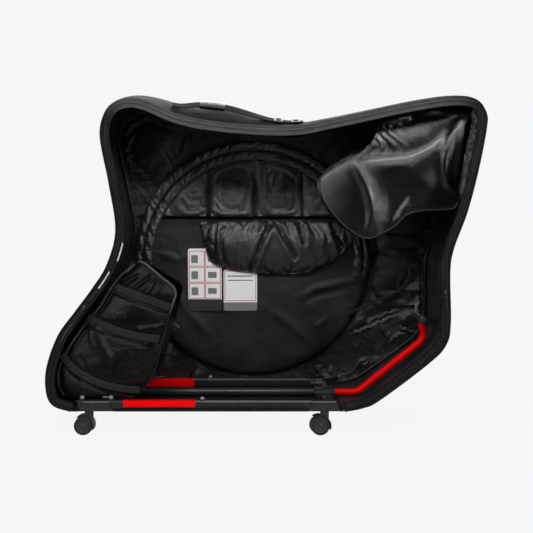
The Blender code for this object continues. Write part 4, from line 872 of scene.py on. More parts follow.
# %% Geometry Nodes that repeat a small shape along a line
def repeat_tree():
    """A node tree: a line with an up direction in, a row of small shapes out."""
    tree = bpy.data.node_groups.new("repeat_along_line", "GeometryNodeTree")
    for label, way, kind in (
        ("Geometry", "INPUT", "Geometry"), ("Spacing", "INPUT", "Float"),
        ("Size", "INPUT", "Float"), ("Lift", "INPUT", "Float"), ("Shape", "INPUT", "Object"),
        ("Finish", "INPUT", "Material"), ("Geometry", "OUTPUT", "Geometry"),
    ):
        tree.interface.new_socket(label, in_out=way, socket_type="NodeSocket" + kind)

    def new(kind, **settings):
        node = tree.nodes.new(kind)
        for key, value in settings.items():
            setattr(node, key, value)
        return node

    given, out = new("NodeGroupInput"), new("NodeGroupOutput")
    curve = new("GeometryNodeMeshToCurve")
    even = new("GeometryNodeResampleCurve", mode="LENGTH")
    up = new("GeometryNodeInputNamedAttribute", data_type="FLOAT_VECTOR")
    up.inputs["Name"].default_value = "up"
    tangent = new("GeometryNodeInputTangent")
    ahead = new("FunctionNodeAlignRotationToVector", axis="X")
    upright = new("FunctionNodeAlignRotationToVector", axis="Z", pivot_axis="X")
    lift = new("ShaderNodeVectorMath", operation="SCALE")
    move = new("GeometryNodeSetPosition")
    shape_info = new("GeometryNodeObjectInfo")
    placed = new("GeometryNodeInstanceOnPoints")
    real = new("GeometryNodeRealizeInstances")
    colour = new("GeometryNodeSetMaterial")
    for start, output, end, socket in (
        (given, "Geometry", curve, "Mesh"), (curve, "Curve", even, "Curve"),
        (given, "Spacing", even, "Length"), (up, "Attribute", lift, 0),
        (given, "Lift", lift, "Scale"), (even, "Curve", move, "Geometry"),
        (lift, 0, move, "Offset"), (tangent, "Tangent", ahead, "Vector"),
        (ahead, "Rotation", upright, "Rotation"), (up, "Attribute", upright, "Vector"),
        (given, "Shape", shape_info, "Object"), (move, "Geometry", placed, "Points"),
        (shape_info, "Geometry", placed, "Instance"), (upright, "Rotation", placed, "Rotation"),
        (given, "Size", placed, "Scale"), (placed, "Instances", real, "Geometry"),
        (real, "Geometry", colour, "Geometry"), (given, "Finish", colour, "Material"),
        (colour, "Geometry", out, "Geometry"),
    ):
        tree.links.new(start.outputs[output], end.inputs[socket])
    return tree


repeat = repeat_tree()


# %% A small bar for a stitch or a zip tooth
def small_shape(name, length, width, height):
    """A rounded bar of a few faces, along X and standing on zero."""
    mesh = bpy.data.meshes.new(name)
    ends = [(-0.5, 0.45), (-0.25, 1.0), (0.25, 1.0), (0.5, 0.45)]
    section = [(-0.5, 0.25), (-0.3, 0.85), (0.3, 0.85), (0.5, 0.25), (0.3, -0.1), (-0.3, -0.1)]
    points = [(e * length, a * width * s, b * height * s) for e, s in ends for a, b in section]
    mesh.from_pydata(points, [], tube_faces(len(ends), len(section)))
    face_outwards(mesh)
    return bpy.data.objects.new(name, mesh)


# %% Rows of stitches and of teeth along a line
STITCH = small_shape("stitch", 0.0032, 0.0009, 0.0007)
TOOTH = small_shape("tooth", 0.0016, 0.0046, 0.0022)


def row_of(name, lines, small, spacing, finish, lift=0.0, slot=None):
    """A row of small shapes along one or more lines. Each line is points and up directions."""
    points, ups, edges = [], [], []
    for path, up in lines:
        start = len(points)
        points += [tuple(p) for p in path]
        ups += [tuple(u) for u in np.broadcast_to(np.array(up, float), np.array(path).shape)]
        edges += [(start + i, start + i + 1) for i in range(len(path) - 1)]
    mesh = bpy.data.meshes.new(name)
    mesh.from_pydata(points, edges, [])
    attribute = mesh.attributes.new("up", "FLOAT_VECTOR", "POINT")
    attribute.data.foreach_set("vector", np.array(ups, np.float32).ravel())
    obj = in_scene(name, mesh)
    modifier = obj.modifiers.new("repeat", "NODES")
    modifier.node_group = repeat
    given = {"Spacing": spacing, "Size": 1.0, "Lift": lift, "Shape": small,
             "Finish": finish.material}
    for item in repeat.interface.items_tree:
        if item.name in given:
            modifier[item.identifier] = given[item.name]
    with_modifiers_applied(obj)
    print(name, len(obj.data.polygons), "faces")
    return dress(obj, finish, slot=slot, sharp=60)


def stitched(name, lines, spacing, lift=0.0, slot=None):
    return row_of(name, lines, STITCH, spacing, thread, lift, slot)


# %% The rim's tape, its piping and the zip
near_out = np.array([0.0, -math.cos(LEAN), math.sin(LEAN)])
far_out = np.array([0.0, math.cos(LEAN), math.sin(LEAN)])
RIM_BACK = 0.0003
RIM_WAVE = 0.0008
ZIP_INWARD = 0.0140
RIM_PROFILE = [
    (0.0015, -0.0000), (-0.0010, 0.0022), (0.0000, 0.0050), (0.0025, 0.0062), (0.0050, 0.0050),
    (0.0062, 0.0036), (0.0085, 0.0046), (0.0120, 0.0043), (0.0160, 0.0043), (0.0195, 0.0040),
    (0.0210, 0.0034), (0.0228, 0.0046), (0.0248, 0.0050), (0.0262, 0.0036), (0.0262, 0.0012),
    (0.0245, 0.0000),
]


def on_rim(inward, height):
    """A line on the near rim: a distance in from the outline, and a height out of its plane."""
    flat = outline - outward * inward
    return laid(flat[:, 0], -half_width(flat[:, 1]), flat[:, 1]) + near_out * (RIM_BACK + height)


# %% The tape itself, the zip's chain and the far piping
rim_wave = waves(laid(outline[:, 0], 0, outline[:, 1]), (7.0, 1.0, 7.0), 21)[:, None]
rings = [
    on_rim(inward, height) + near_out[None] * (rim_wave * RIM_WAVE * (height > 0.001))
    for inward, height in RIM_PROFILE
]
rim = tube("rim_tape", np.stack(rings, axis=1), along, np.array(RIM_PROFILE), rim_fabric,
           node="zip_rim")
row_of("zip_teeth", [(on_rim(ZIP_INWARD, 0.0036), near_out)], TOOTH, 0.0026, zip_coil,
       slot="rim_fabric")
stitched("rim_stitches", [(on_rim(0.0075, 0.0040), near_out), (on_rim(0.0208, 0.0033), near_out)],
         0.0048, slot="rim_fabric")
piping_line = outer[:, -1] + far_out * 0.0026 - laid(outward[:, 0], 0, outward[:, 1]) * 0.0012
swept("far_piping", piping_line, far_out, round_section(0.0032), piping_cord, slot="shell_fabric")

# %% Painted glint dashes on the rim, the hem at its foot and the seam in front of the floor
dash_tape = tape_section(0.0038, 0.0010, 0.0004)
# Each dash is a painted glint on the piping: pale where it shines most, piping grey where fainter.
for number, (first, last, inward, finish) in enumerate((
    (72, 77, 0.0235, glinting_reflector), (61, 68, 0.0145, glinting_reflector),
    (57, 60, 0.0135, hem_piping), (39, 47, 0.0150, hem_piping),
)):
    dash_line = on_rim(inward, 0.0052)[first:last + 1]
    swept(f"reflective_dash_{number}", dash_line, near_out, dash_tape, finish, slot="rim_fabric")
hem_x = np.linspace(-0.3915, 0.1065, 60)
hem_path = laid(hem_x, -0.2020, 0.0705 + 0.0003 * np.sin(hem_x * 41))
swept("base_hem", hem_path, (0, -1, 0), tape_section(0.0110, 0.0015, 0.0005), pouch_fabric,
      slot="rim_fabric")
seam_path = laid(0.2032, np.linspace(-0.2030, 0.2030, 50), 0.0679)
swept("base_seam", seam_path, (0, 0, 1), tape_section(0.0080, 0.0009, 0.0003), floor_fabric,
      slot="shell_fabric")

# %% [markdown]
# ## Cloth that swells between its seams
#
# Padded fabric gets its look from one thing: the cloth is a little too large for the seams that
# hold it, and the filling pushes it out. So that is what is simulated. Each panel starts flat, with
# its seams pinned, then grows by a few per cent while air presses on it. The puckers along the
# seams come out by themselves. The panels are simulated lying flat and put in their place after.


# %% The simulation of one panel
def puffed(name, panel, start, held, loose, growth, pressure, frames, cap):
    """Lets a panel grow and swell, where loose is 1. Start is its height. Gives the new places."""
    count = len(panel.spots)
    flat = np.column_stack([panel.spots, np.broadcast_to(start, count)])
    mesh = bpy.data.meshes.new(name + "_cloth")
    mesh.from_pydata([tuple(p) for p in flat], [], panel.triangles)
    obj = in_scene(name + "_cloth", mesh)
    pins = obj.vertex_groups.new(name="seams")
    for i in np.nonzero(held)[0]:
        pins.add([int(i)], 1.0, "REPLACE")
    tight = obj.vertex_groups.new(name="tight")
    for i, share in enumerate(loose):
        tight.add([i], 1.0 - float(share), "REPLACE")
    cloth_modifier = obj.modifiers.new("cloth", "CLOTH")
    settings = cloth_modifier.settings
    settings.quality = 6
    settings.mass = 0.15
    settings.air_damping = 4.0
    settings.tension_stiffness = settings.compression_stiffness = 25.0
    settings.shear_stiffness = 8.0
    settings.bending_stiffness = 0.05
    settings.vertex_group_mass = "seams"
    settings.use_pressure = True
    settings.uniform_pressure_force = pressure
    settings.vertex_group_shrink = "tight"
    settings.shrink_min = -growth
    settings.shrink_max = 0.0
    settings.effector_weights.gravity = 0.0
    cloth_modifier.collision_settings.use_collision = False
    cloth_modifier.point_cache.frame_start = 1
    cloth_modifier.point_cache.frame_end = frames
    scene = bpy.context.scene
    for number in range(1, frames + 1):
        scene.frame_set(number)
    result = obj.evaluated_get(bpy.context.evaluated_depsgraph_get())
    places = np.empty(count * 3)
    result.data.vertices.foreach_get("co", places)
    places = places.reshape(-1, 3)
    scene.frame_set(1)
    bpy.data.objects.remove(obj)
    moved = places - flat
    size = np.linalg.norm(moved, axis=1)[:, None]
    places = flat + moved * np.minimum(1, cap / np.maximum(size, 1e-9))
    highest = float((places[:, 2] - flat[:, 2]).max())
    print(name, count, "points, swelled up to", round(highest * 1000, 1), "mm")
    return places


# %% [markdown]
# ## The far side: lining, pocket, quilting
#
# The far side is a padded panel. Inside, its satin lining is held by the seam round the wheel
# pocket and by a few sewn lines, and swells between them. The round pocket lies on it, open at its
# top. A pleated band runs round the upper part of the circle, quilting fills it, and a fat glossy
# roll hangs over the pocket's mouth.

# %% Places on the far side
POCKET = np.array([-0.044, 0.395])
POCKET_R = 0.355
MOUTH_RISE = 0.126
HEM = POCKET[1] + MOUTH_RISE
SKIN = 0.0008
LINING_SEAMS = [
    [(0.397, 0.178), (0.345, 0.115), (0.284, 0.038)],
    [(0.397, 0.178), (0.453, 0.157), (0.480, 0.160)],
    [(0.256, 0.173), (0.330, 0.205), (0.393, 0.232)],
    [(-0.200, 0.715), (-0.230, 0.790), (-0.300, 0.845)],
    [(0.120, 0.712), (0.205, 0.765), (0.300, 0.812)],
]
toward = np.array(far_place((0, 0), 1.0)) - np.array(far_place((0, 0), 0.0))


def up_slope(z):
    return (z - BASE_Z) / math.cos(LEAN)


def far_edge(inset):
    """The wall's far edge on the far plane, by X and rise."""
    row = wall_points(inset)[:, -1]
    return np.stack([row[:, 0], up_slope(row[:, 2])], axis=1)


def far_line(points, height):
    return np.array([far_place(p, height) for p in points])


def pocket_arc(angles, radius):
    return POCKET + np.stack([np.cos(angles), np.sin(angles)], axis=1) * radius


# %% The lining swells between its seams, and gets finer folds
inside_edge = far_edge(WALL + 0.0012)
inside_edge[:, 1] = np.maximum(inside_edge[:, 1], 0.0055)
lining = Panel(inside_edge, 0.0085)
x, z = lining.spots.T
to_edge = lining.to_edge()
radius = np.linalg.norm(lining.spots - POCKET, axis=1)
to_seam = nearest_of(lining.spots, LINING_SEAMS)
held = (to_edge < 0.004) | (radius < POCKET_R - 0.004) | (to_seam < 0.0045)
loose = np.clip(np.minimum(to_edge, radius - POCKET_R) / 0.04, 0, 1)
swollen = puffed("lining", lining, SKIN, held, loose, 0.100, 6.0, 16, 0.030)
folds = ridges(laid(x * 0.9 + z * 0.45, z - x * 0.4, 0), (5.0, 17.0, 1.0), 31, 4)
strong = bell(np.linalg.norm(lining.spots - np.array([0.270, 0.115]), axis=1), 0.12) + 0.25
streaks = ridges(laid(x * 0.94 + z * 0.34, z * 0.94 - x * 0.34, 0), (7.0, 30.0, 1.0), 32, 3)
streaked = bell(np.linalg.norm(lining.spots - np.array([0.350, 0.170]), axis=1), 0.13)
free = np.clip(np.minimum(to_edge, np.minimum(to_seam, radius - POCKET_R)) / 0.02, 0, 1)
swollen[:, 2] += free * (0.018 * strong * (folds - 0.35) + 0.009 * streaked * (streaks - 0.35))
swollen[:, 2] = np.maximum(swollen[:, 2], SKIN)
panel_lining = lining.sheet("far_lining", far_place, swollen, -0.0002, lining_fabric,
                            slot="lining_fabric")

# %% The far panel behind it, quilted by a frame of channels and two level ones
PANEL_FRAME, PANEL_LEVELS = 0.045, (0.26, 0.54)
CHANNEL_WAVE = 0.02
panel = Panel(far_edge(0.0), 0.012)
x, z = panel.spots.T
to_edge = panel.to_edge()
outside_frame = np.clip(PANEL_FRAME - to_edge, 0, 1)
to_levels = [
    np.hypot(z - level - CHANNEL_WAVE * np.sin(x * 3), outside_frame) for level in PANEL_LEVELS
]
channel = np.minimum(np.abs(to_edge - PANEL_FRAME), np.min(to_levels, axis=0))
plump = 0.0080 * np.clip(channel / 0.075, 0, 1) ** 0.5 * np.clip(to_edge / 0.02, 0, 1) ** 0.5
crown = 0.0058 + plump
crown += 0.0014 * waves(laid(x, z, 0), (5, 5, 1), 41)
creased = ridges(laid(x + 0.4 * z, z, 0), (9.0, 5.0, 1.0), 42, 3)
crown += 0.0022 * (creased - 0.35) * np.clip(channel / 0.02, 0, 1)
crown = np.where(to_edge < 0.004, 0.0050, crown)
far_panel = panel.sheet("far_panel", far_place, -0.0004, -crown, pocket_fabric,
                        node="far_side_panel")

# %% The stitches beside the panel's channels
beside = []
level_x = np.linspace(-0.56, 0.56, 160)
for offset in (-0.0055, 0.0055):
    flat = outline - outward * (PANEL_FRAME + offset)
    beside.append(np.stack([flat[:, 0], up_slope(flat[:, 1])], axis=1))
    for level in PANEL_LEVELS:
        beside.append(laid(level_x, level + offset + CHANNEL_WAVE * np.sin(level_x * 3)))
rows = []
for line in beside:
    gap = np.linalg.norm(panel.spots[None, :, :] - line[:, None, :], axis=2)
    nearest = np.argmin(gap, axis=1)
    kept = (np.min(gap, axis=1) < 0.010) & (to_edge[nearest] > PANEL_FRAME - 0.009)
    places = [far_place(p, -crown[i]) for p, i in zip(line[kept], nearest[kept])]
    rows.append((np.array(places), tuple(far_out)))
stitched("panel_stitches", rows, 0.0060, slot="shell_fabric")

# %% The wheel pocket
POCKET_DEPTH = 0.0275
CARD_FACE = 0.0312
POCKET_CLOTH, POCKET_THINNEST = 0.0030, 0.0012
POCKET_FOLDS = (
    ([(0.098, 0.285), (0.140, 0.310), (0.189, 0.322), (0.265, 0.338), (0.312, 0.326)],
     0.0075, 0.0085),
    ([(0.110, 0.268), (0.150, 0.291), (0.205, 0.302), (0.262, 0.322)], -0.0050, 0.0080),
    ([(0.145, 0.190), (0.183, 0.221)], 0.0050, 0.0075),
    ([(-0.010, 0.255), (0.070, 0.200), (0.160, 0.120)], 0.0045, 0.0160),
    ([(-0.300, 0.330), (-0.250, 0.250), (-0.180, 0.170)], 0.0055, 0.0140),
    ([(-0.330, 0.420), (-0.270, 0.400), (-0.215, 0.430)], 0.0060, 0.0100),
)


def pocket_height(radius):
    """The pocket's height over the far plane: flat, and falling steeply at its round edge."""
    return POCKET_DEPTH * np.clip(1 - (radius / POCKET_R) ** 22, 0, 1) ** 0.6


# %% The pocket's face and its piping
mouth = math.asin(MOUTH_RISE / POCKET_R)
pocket_edge = pocket_arc(np.linspace(mouth, -math.pi - mouth, 150), POCKET_R - 0.002)
pocket = Panel(pocket_edge, 0.0075)
x, z = pocket.spots.T
radius = np.linalg.norm(pocket.spots - POCKET, axis=1)
slack = waves(laid(x, z, 0), (4.5, 6.0, 1), 51) * 0.0035
slack += folded(pocket.spots, POCKET_FOLDS, 0.03, 0.6)
face = pocket_height(radius) + slack * np.clip((POCKET_R - radius) / 0.03, 0, 1)
by_cards = (x > -0.250) & (x < -0.024) & (z > 0.236) & (z < 0.442)
face = np.where(by_cards, np.minimum(face, CARD_FACE), face)
face += 0.0030 * bell(HEM - z - 0.004, 0.004)
back = np.maximum(face - POCKET_CLOTH, 0.0004)
face = np.maximum(face, back + POCKET_THINNEST)
pocket_face = pocket.sheet("pocket_face", far_place, face, back, pocket_fabric, node="wheel_pocket")
piping_line = far_line(POCKET + (pocket_edge - POCKET) * 1.006, 0.0036)
swept("pocket_piping", piping_line, toward, round_section(0.0030, 8), piping_cord,
      slot="gloss_fabric")

# %% The pleated band round the upper part of the circle
BAND_IN, BAND_OUT, BAND_MIDDLE = 0.302, 0.360, 0.331
PLEAT, FINE_PLEAT = 0.034, 0.0075
turn = np.linspace(math.radians(-8), math.radians(222), 700)[:, None]
share = np.linspace(0, 1, 27)[None, :]
reach = BAND_IN + (BAND_OUT - BAND_IN) * share
casing = np.abs(np.sin(share * math.pi * 2)) ** 0.45
arc = turn * BAND_MIDDLE
drift = waves(laid(arc, 0, 0), (11, 1, 1), 61)
depth = waves(laid(arc, 1, 1), (26, 1, 1), 62)
pleat = np.abs(np.sin(arc * math.pi / PLEAT + share * 5.2 + drift * 4.0)) ** 0.7
fine = np.abs(np.sin(arc * math.pi / FINE_PLEAT - share * 2.0 + drift * 9.0))
high = 0.0035 + 0.0075 * casing + casing * (0.0085 * pleat * (0.8 + 0.8 * depth) + 0.0016 * fine)
high *= np.clip(np.minimum(turn - turn[0], turn[-1] - turn) / 0.10, 0.25, 1)
high[:, 0] = high[:, -1] = 0.0012
ring_x = POCKET[0] + reach * np.cos(turn)
ring_z = POCKET[1] + reach * np.sin(turn)
lift = 1 / (1 + np.exp(-(HEM - ring_z) / 0.010)) * pocket_height(reach)


def far_grid(x, z, height):
    """A grid of points over the far plane."""
    return np.stack(far_place((x, z), height), axis=2)


band = shell_between("pleated_band", far_grid(ring_x, ring_z, lift + high),
                     far_grid(ring_x, ring_z, lift + 0.0005), quilt_fabric, laid(arc, reach),
                     slot="lining_fabric")

# %% The quilting above the mouth
QUILT_SEAMS = (-0.1795, -0.0385, 0.1055)
QUILT_R = BAND_IN + 0.004
low_edge = HEM + 0.003
half = math.sqrt(QUILT_R**2 - (low_edge - POCKET[1]) ** 2)
start_angle = math.atan2(low_edge - POCKET[1], half)
quilting = Panel(pocket_arc(np.linspace(start_angle, math.pi - start_angle, 90), QUILT_R), 0.0052)
x, z = quilting.spots.T
to_edge = quilting.to_edge()
to_seam = np.min([np.abs(x - seam) for seam in QUILT_SEAMS], axis=0)
held = (to_edge < 0.003) | (to_seam < 0.003)
loose = np.clip(np.minimum(to_edge, to_seam) / 0.035, 0.1, 1)
swollen = puffed("quilt", quilting, 0.0035, held, loose, 0.040, 4.0, 16, 0.020)
pucker = np.abs(np.sin(z * math.pi / 0.0115 + 2.5 * np.sin(z * 55 + x * 9)))
near_seam = bell(to_seam - 0.011, 0.011) * np.clip(to_edge / 0.008, 0, 1)
plump = 1 - np.exp(-np.minimum(to_seam, to_edge) / 0.0035)
rise = np.clip((z - low_edge) / 0.16, 0, 1)
second_cell = (x > QUILT_SEAMS[0]) & (x < QUILT_SEAMS[1])
tipped = np.where(second_cell, 0.032, 0.008) * (1 - rise)
crinkle = ridges(laid(x, 0, z), (30.0, 1.0, 9.0), 67, 3) - 0.4
swollen[:, 2] += (0.0060 + tipped + 0.0030 * crinkle) * plump + 0.0030 * near_seam * (pucker - 0.35)
quilt = quilting.sheet("quilted_band", far_place, swollen, 0.0012, quilt_fabric, node="upper_pad")
rows = []
for seam in QUILT_SEAMS:
    top = POCKET[1] + math.sqrt((BAND_IN + 0.001) ** 2 - (seam - POCKET[0]) ** 2)
    line = laid(seam, np.linspace(low_edge + 0.004, top, 30))
    rows.append((far_line(line, 0.0040), toward))
stitched("quilt_stitches", rows, 0.0050, slot="lining_fabric")

# %% The roll over the pocket's mouth
ROLL_TOP, ROLL_REAR, ROLL_FRONT = 0.517, -0.206, 0.285
ROLL_BACK = 0.0306
roll_low = spline([
    (-0.205, 0.508), (-0.190, 0.440), (-0.172, 0.392), (-0.115, 0.368), (-0.056, 0.359),
    (0.010, 0.353), (0.070, 0.352), (0.120, 0.360), (0.170, 0.378), (0.215, 0.408),
    (0.252, 0.445), (0.278, 0.485), (0.284, 0.508),
], 8)
ROLL_FOLDS = [
    [(0.009, 0.516), (-0.057, 0.362)], [(0.024, 0.516), (0.058, 0.455), (0.080, 0.415)],
    [(0.096, 0.516), (0.107, 0.455)], [(0.190, 0.516), (0.214, 0.440)],
]
rolled = Panel(np.vstack([roll_low, [(0.270, ROLL_TOP), (-0.196, ROLL_TOP)]]), 0.0046)
x, z = rolled.spots.T
to_edge = rolled.to_edge()
to_fold = nearest_of(rolled.spots, ROLL_FOLDS)
lowest = np.interp(x, roll_low[:, 0], roll_low[:, 1])
rise = np.clip((z - lowest) / (ROLL_TOP - lowest), 0, 1)
ends = np.clip(np.minimum(x - ROLL_REAR, ROLL_FRONT - x) / 0.06, 0, 1) ** 0.6
begin = 0.0320 + 0.0200 * np.sqrt(np.clip(1 - (2 * rise - 1) ** 2, 0, 1)) * ends
loose = np.clip(to_edge / 0.02, 0.1, 1)
swollen = puffed("roll", rolled, begin, to_edge < 0.003, loose, 0.070, 3.0, 14, 0.007)
gather = np.abs(np.sin(x * math.pi / 0.0125 + 2 * np.sin(x * 60)))
low_side = np.clip((0.42 - z) / 0.06, 0, 1)
drape = ridges(laid(x, 0, z), (26.0, 1.0, 7.0), 66, 3) - 0.4
free = np.clip(to_edge / 0.010, 0, 1)
groove = 0.0085 * bell(to_fold + 0.0020 * drape, 0.0060)
swollen[:, 2] += free * (0.0030 * (gather - 0.5) * low_side + 0.0030 * drape - groove)
swollen[:, 2] += free * 0.0045 * bell(to_fold - 0.014, 0.008)
swollen[:, 2] = np.maximum(swollen[:, 2], ROLL_BACK + 0.0010)
roll = rolled.sheet("mouth_roll", far_place, swollen, ROLL_BACK, roll_fabric, node="pocket_roll")

# %% The seam round the far panel
corner = resampled(inside_edge[inside_edge[:, 1] > 0.012], 0.008)
inward = unit(np.array([0.0, 0.42]) - corner)
swept("inner_piping", far_line(corner + inward * 0.006, 0.0040), toward, round_section(0.0042, 8),
      lining_fabric, slot="lining_fabric")

# %% The gathers in the front corner
GATHER_HALF, GATHER_CLOTH = 0.015, 0.0030
spine = resampled(spline([
    (0.556, 0.898), (0.571, 0.874), (0.574, 0.840), (0.561, 0.785), (0.551, 0.739), (0.544, 0.694),
    (0.537, 0.651), (0.533, 0.622),
], 10), 0.0034)
half_wide = np.linspace(-1, 1, 15)[None, :]
length = lengths_along(spine)[:, None]
normal = normals(spine)
taper = np.clip(np.minimum(length, length[-1] - length) / 0.03, 0.15, 1)
squirm = 0.004 * np.sin(length * 170) * (1 - np.abs(half_wide))
sideways = half_wide * GATHER_HALF * taper + squirm
gather_x = spine[:, 0:1] + normal[:, 0:1] * sideways
gather_z = spine[:, 1:2] + normal[:, 1:2] * sideways
near = -half_width(gather_z) + 0.016 + 0.010 * np.abs(half_wide) ** 2
knots = ridges(laid(gather_x, 0, gather_z), (62.0, 1.0, 62.0), 64, 3)
near -= 0.0130 * (knots - 0.35) * taper * (1 - half_wide**6)
front_skin = laid(gather_x, near, gather_z)
gathers = shell_between("corner_gathers", front_skin, front_skin + np.array([0, GATHER_CLOTH, 0]),
                        gathered_fabric, laid(length, half_wide * GATHER_HALF),
                        slot="lining_fabric")

# %% A loose tether of webbing
tether = resampled(spline([
    (0.243, 0.236), (0.300, 0.262), (0.385, 0.300), (0.405, 0.315), (0.428, 0.352), (0.414, 0.378),
    (0.396, 0.340), (0.392, 0.312),
], 8), 0.005)
swept("tether", far_line(tether, 0.0340), toward, tape_section(0.0085, 0.0016, 0.0004), webbing,
      slot="webbing")

# %% [markdown]
# ## The two cards
#
# Two pale cards hang on the pocket, in clear sleeves that are not made here. They stay without
# words: only a thin frame and plain grey blocks, which are drawn by the material from the card's
# own coordinates.


# %% What is drawn on the cards: boxes from the card's lower left corner, and their paint
RED, GREY, DARK, PALE = (0.55, 0.01, 0.02), grey(0.20, 0.21), grey(0.03, 0.03), grey(0.92, 0.92)
CARD_WIDTH, CARD_CORNER, CARD_THICK = 0.101, 0.006, 0.0007
CARD_HEIGHT = 0.0318
FRAME_LINE = 0.0018


def framed(a, b, c, d):
    inner = (a + FRAME_LINE, b - FRAME_LINE, c + FRAME_LINE, d - FRAME_LINE)
    return [(a, b, c, d, RED), (*inner, PALE)]


left_blocks = [(0.0, CARD_WIDTH, 0.0, 0.036, DARK)]
for low in (0.038, 0.087, 0.136):
    left_blocks += framed(0.003, 0.050, low, low + 0.047) + framed(0.051, 0.098, low, low + 0.047)
    left_blocks.append((0.010, 0.030, low + 0.010, low + 0.034, GREY))
    left_blocks.append((0.060, 0.086, low + 0.014, low + 0.032, GREY))
right_blocks = [(0.0, CARD_WIDTH, 0.0, 0.026, GREY), *framed(0.003, 0.098, 0.030, 0.123)]
right_blocks += [(0.012, 0.088, 0.104, 0.108, GREY), (0.012, 0.088, 0.092, 0.0945, DARK)]


# %% The cards and their finishes
def card_finish(name, left, low, blocks):
    made = Finish(name, grey(0.80, 0.80), 0.42, coat_weight=0.3, coat_roughness=0.12)
    u, v, _ = made.axes(made.place("UV"))
    mottled = made.noise(made.place(), 40.0)
    made.feed("Roughness", made.between(mottled, 0.3, 0.7, 0.36, 0.50))
    color = made.mixed(mottled, grey(0.88, 0.89), grey(0.94, 0.94))
    for a, b, c, d, paint in blocks:
        box = u.over(left + a) * u.below(left + b) * v.over(low + c) * v.below(low + d)
        color = made.mixed(box, color, paint)
    made.feed("Base Color", color)
    return made


def rounded_box(left, right, low, high, radius):
    """A box with its corners rounded by short arcs of four points."""
    points = []
    for quarter, (x, z) in enumerate(((right, high), (left, high), (left, low), (right, low))):
        x += radius if x == left else -radius
        z += radius if z == low else -radius
        for step in (0, 30, 60, 90):
            turn = math.radians(quarter * 90 + step)
            points.append((x + radius * math.cos(turn), z + radius * math.sin(turn)))
    return points


for name, x, rise, height, blocks in (
    ("label_card_left", -0.190, 0.339, 0.190, left_blocks),
    ("label_card_right", -0.083, 0.3075, 0.1265, right_blocks),
):
    left, right, low, high = (
        x - CARD_WIDTH / 2, x + CARD_WIDTH / 2, rise - height / 2, rise + height / 2)
    card = Panel(rounded_box(left, right, low, high, CARD_CORNER), 0.006)
    bend = 0.0006 * np.sin(card.spots[:, 0] * 40 + 1) + 0.0005 * np.sin(card.spots[:, 1] * 33)
    back = CARD_HEIGHT + bend
    card.sheet(name, far_place, back + CARD_THICK, back,
               card_finish(name + "_finish", left, low, blocks), node=name)

# %% [markdown]
# ## The bar cover
#
# The cover is one large sheet of coated nylon that hangs from the bag's upper front corner. Its
# lower and rear edges hang free and carry a thin piping. Above one long soft fold it turns away
# from the viewer, towards the ceiling, and that part catches the light. Its folds are lines from
# which the sheet falls away on both sides.

# %% The outline of the cover's near sheet
COVER_Y, COVER_CLOTH = -0.116, 0.0022
cover_low = spline([
    (0.538, 0.824), (0.535, 0.769), (0.533, 0.715), (0.531, 0.660), (0.523, 0.613), (0.479, 0.607),
    (0.432, 0.604), (0.396, 0.598), (0.374, 0.584), (0.358, 0.565), (0.331, 0.548), (0.303, 0.534),
    (0.281, 0.527), (0.262, 0.530), (0.237, 0.543), (0.209, 0.565), (0.182, 0.595), (0.160, 0.626),
    (0.146, 0.663), (0.145, 0.687), (0.160, 0.712), (0.192, 0.736), (0.234, 0.758),
], 6)
cover_high = [
    (0.286, 0.790), (0.304, 0.822), (0.311, 0.858), (0.334, 0.862), (0.366, 0.868), (0.405, 0.880),
    (0.448, 0.887), (0.491, 0.891), (0.534, 0.886), (0.551, 0.866),
]
near_cover = Panel(np.vstack([cover_low, cover_high]), 0.0062)
x, z = near_cover.spots.T


def cover_place(p, h):
    return (p[0], COVER_Y - h, p[1])


# %% Its long fold: the part above turns away, and the parts below fall a little
TOP_DEPTH, TOP_SLOPE = 0.060, 0.72
RIDGE = np.array([
    (0.130, 0.700), (0.190, 0.735), (0.232, 0.752), (0.302, 0.752), (0.360, 0.757), (0.396, 0.764),
    (0.443, 0.786), (0.490, 0.822), (0.535, 0.858),
])
above = z - np.interp(x, RIDGE[:, 0], RIDGE[:, 1])
width = np.interp(x, [0.24, 0.38, 0.50], [0.007, 0.009, 0.016])
rounded = width * np.log1p(np.exp(np.clip((above + 0.012) / width, -40, 40)))
sheet = -TOP_DEPTH * np.tanh(TOP_SLOPE * rounded / TOP_DEPTH)
sheet -= 0.11 * np.clip((x - 0.17) / 0.09, 0, 1) * np.clip(-above, 0, 0.25)
below = np.clip(-above / 0.22, 0, 1)
sheet -= 0.016 * below**1.5 * np.clip((x - 0.30) / 0.08, 0, 1)
sheet -= 0.038 * np.clip(1 - (x - 0.140) / 0.110, 0, 1) ** 1.5


# %% Its upright folds, short folds and creases
def crest(line, height, left, right, round_top=0.004):
    """A fold along an upright line: steep on one side, fading slowly on the other."""
    line = np.array(line)
    away, where = distance_to(near_cover.spots, line)
    order = np.argsort(line[:, 1])
    rightward = x > np.interp(z, line[order, 1], line[order, 0])
    slow = np.exp(-(np.sqrt(away**2 + round_top**2) - round_top) / right)
    return height * np.where(rightward, slow, bell(away, left)) * along_fold(where, line, 0.06, 0.5)


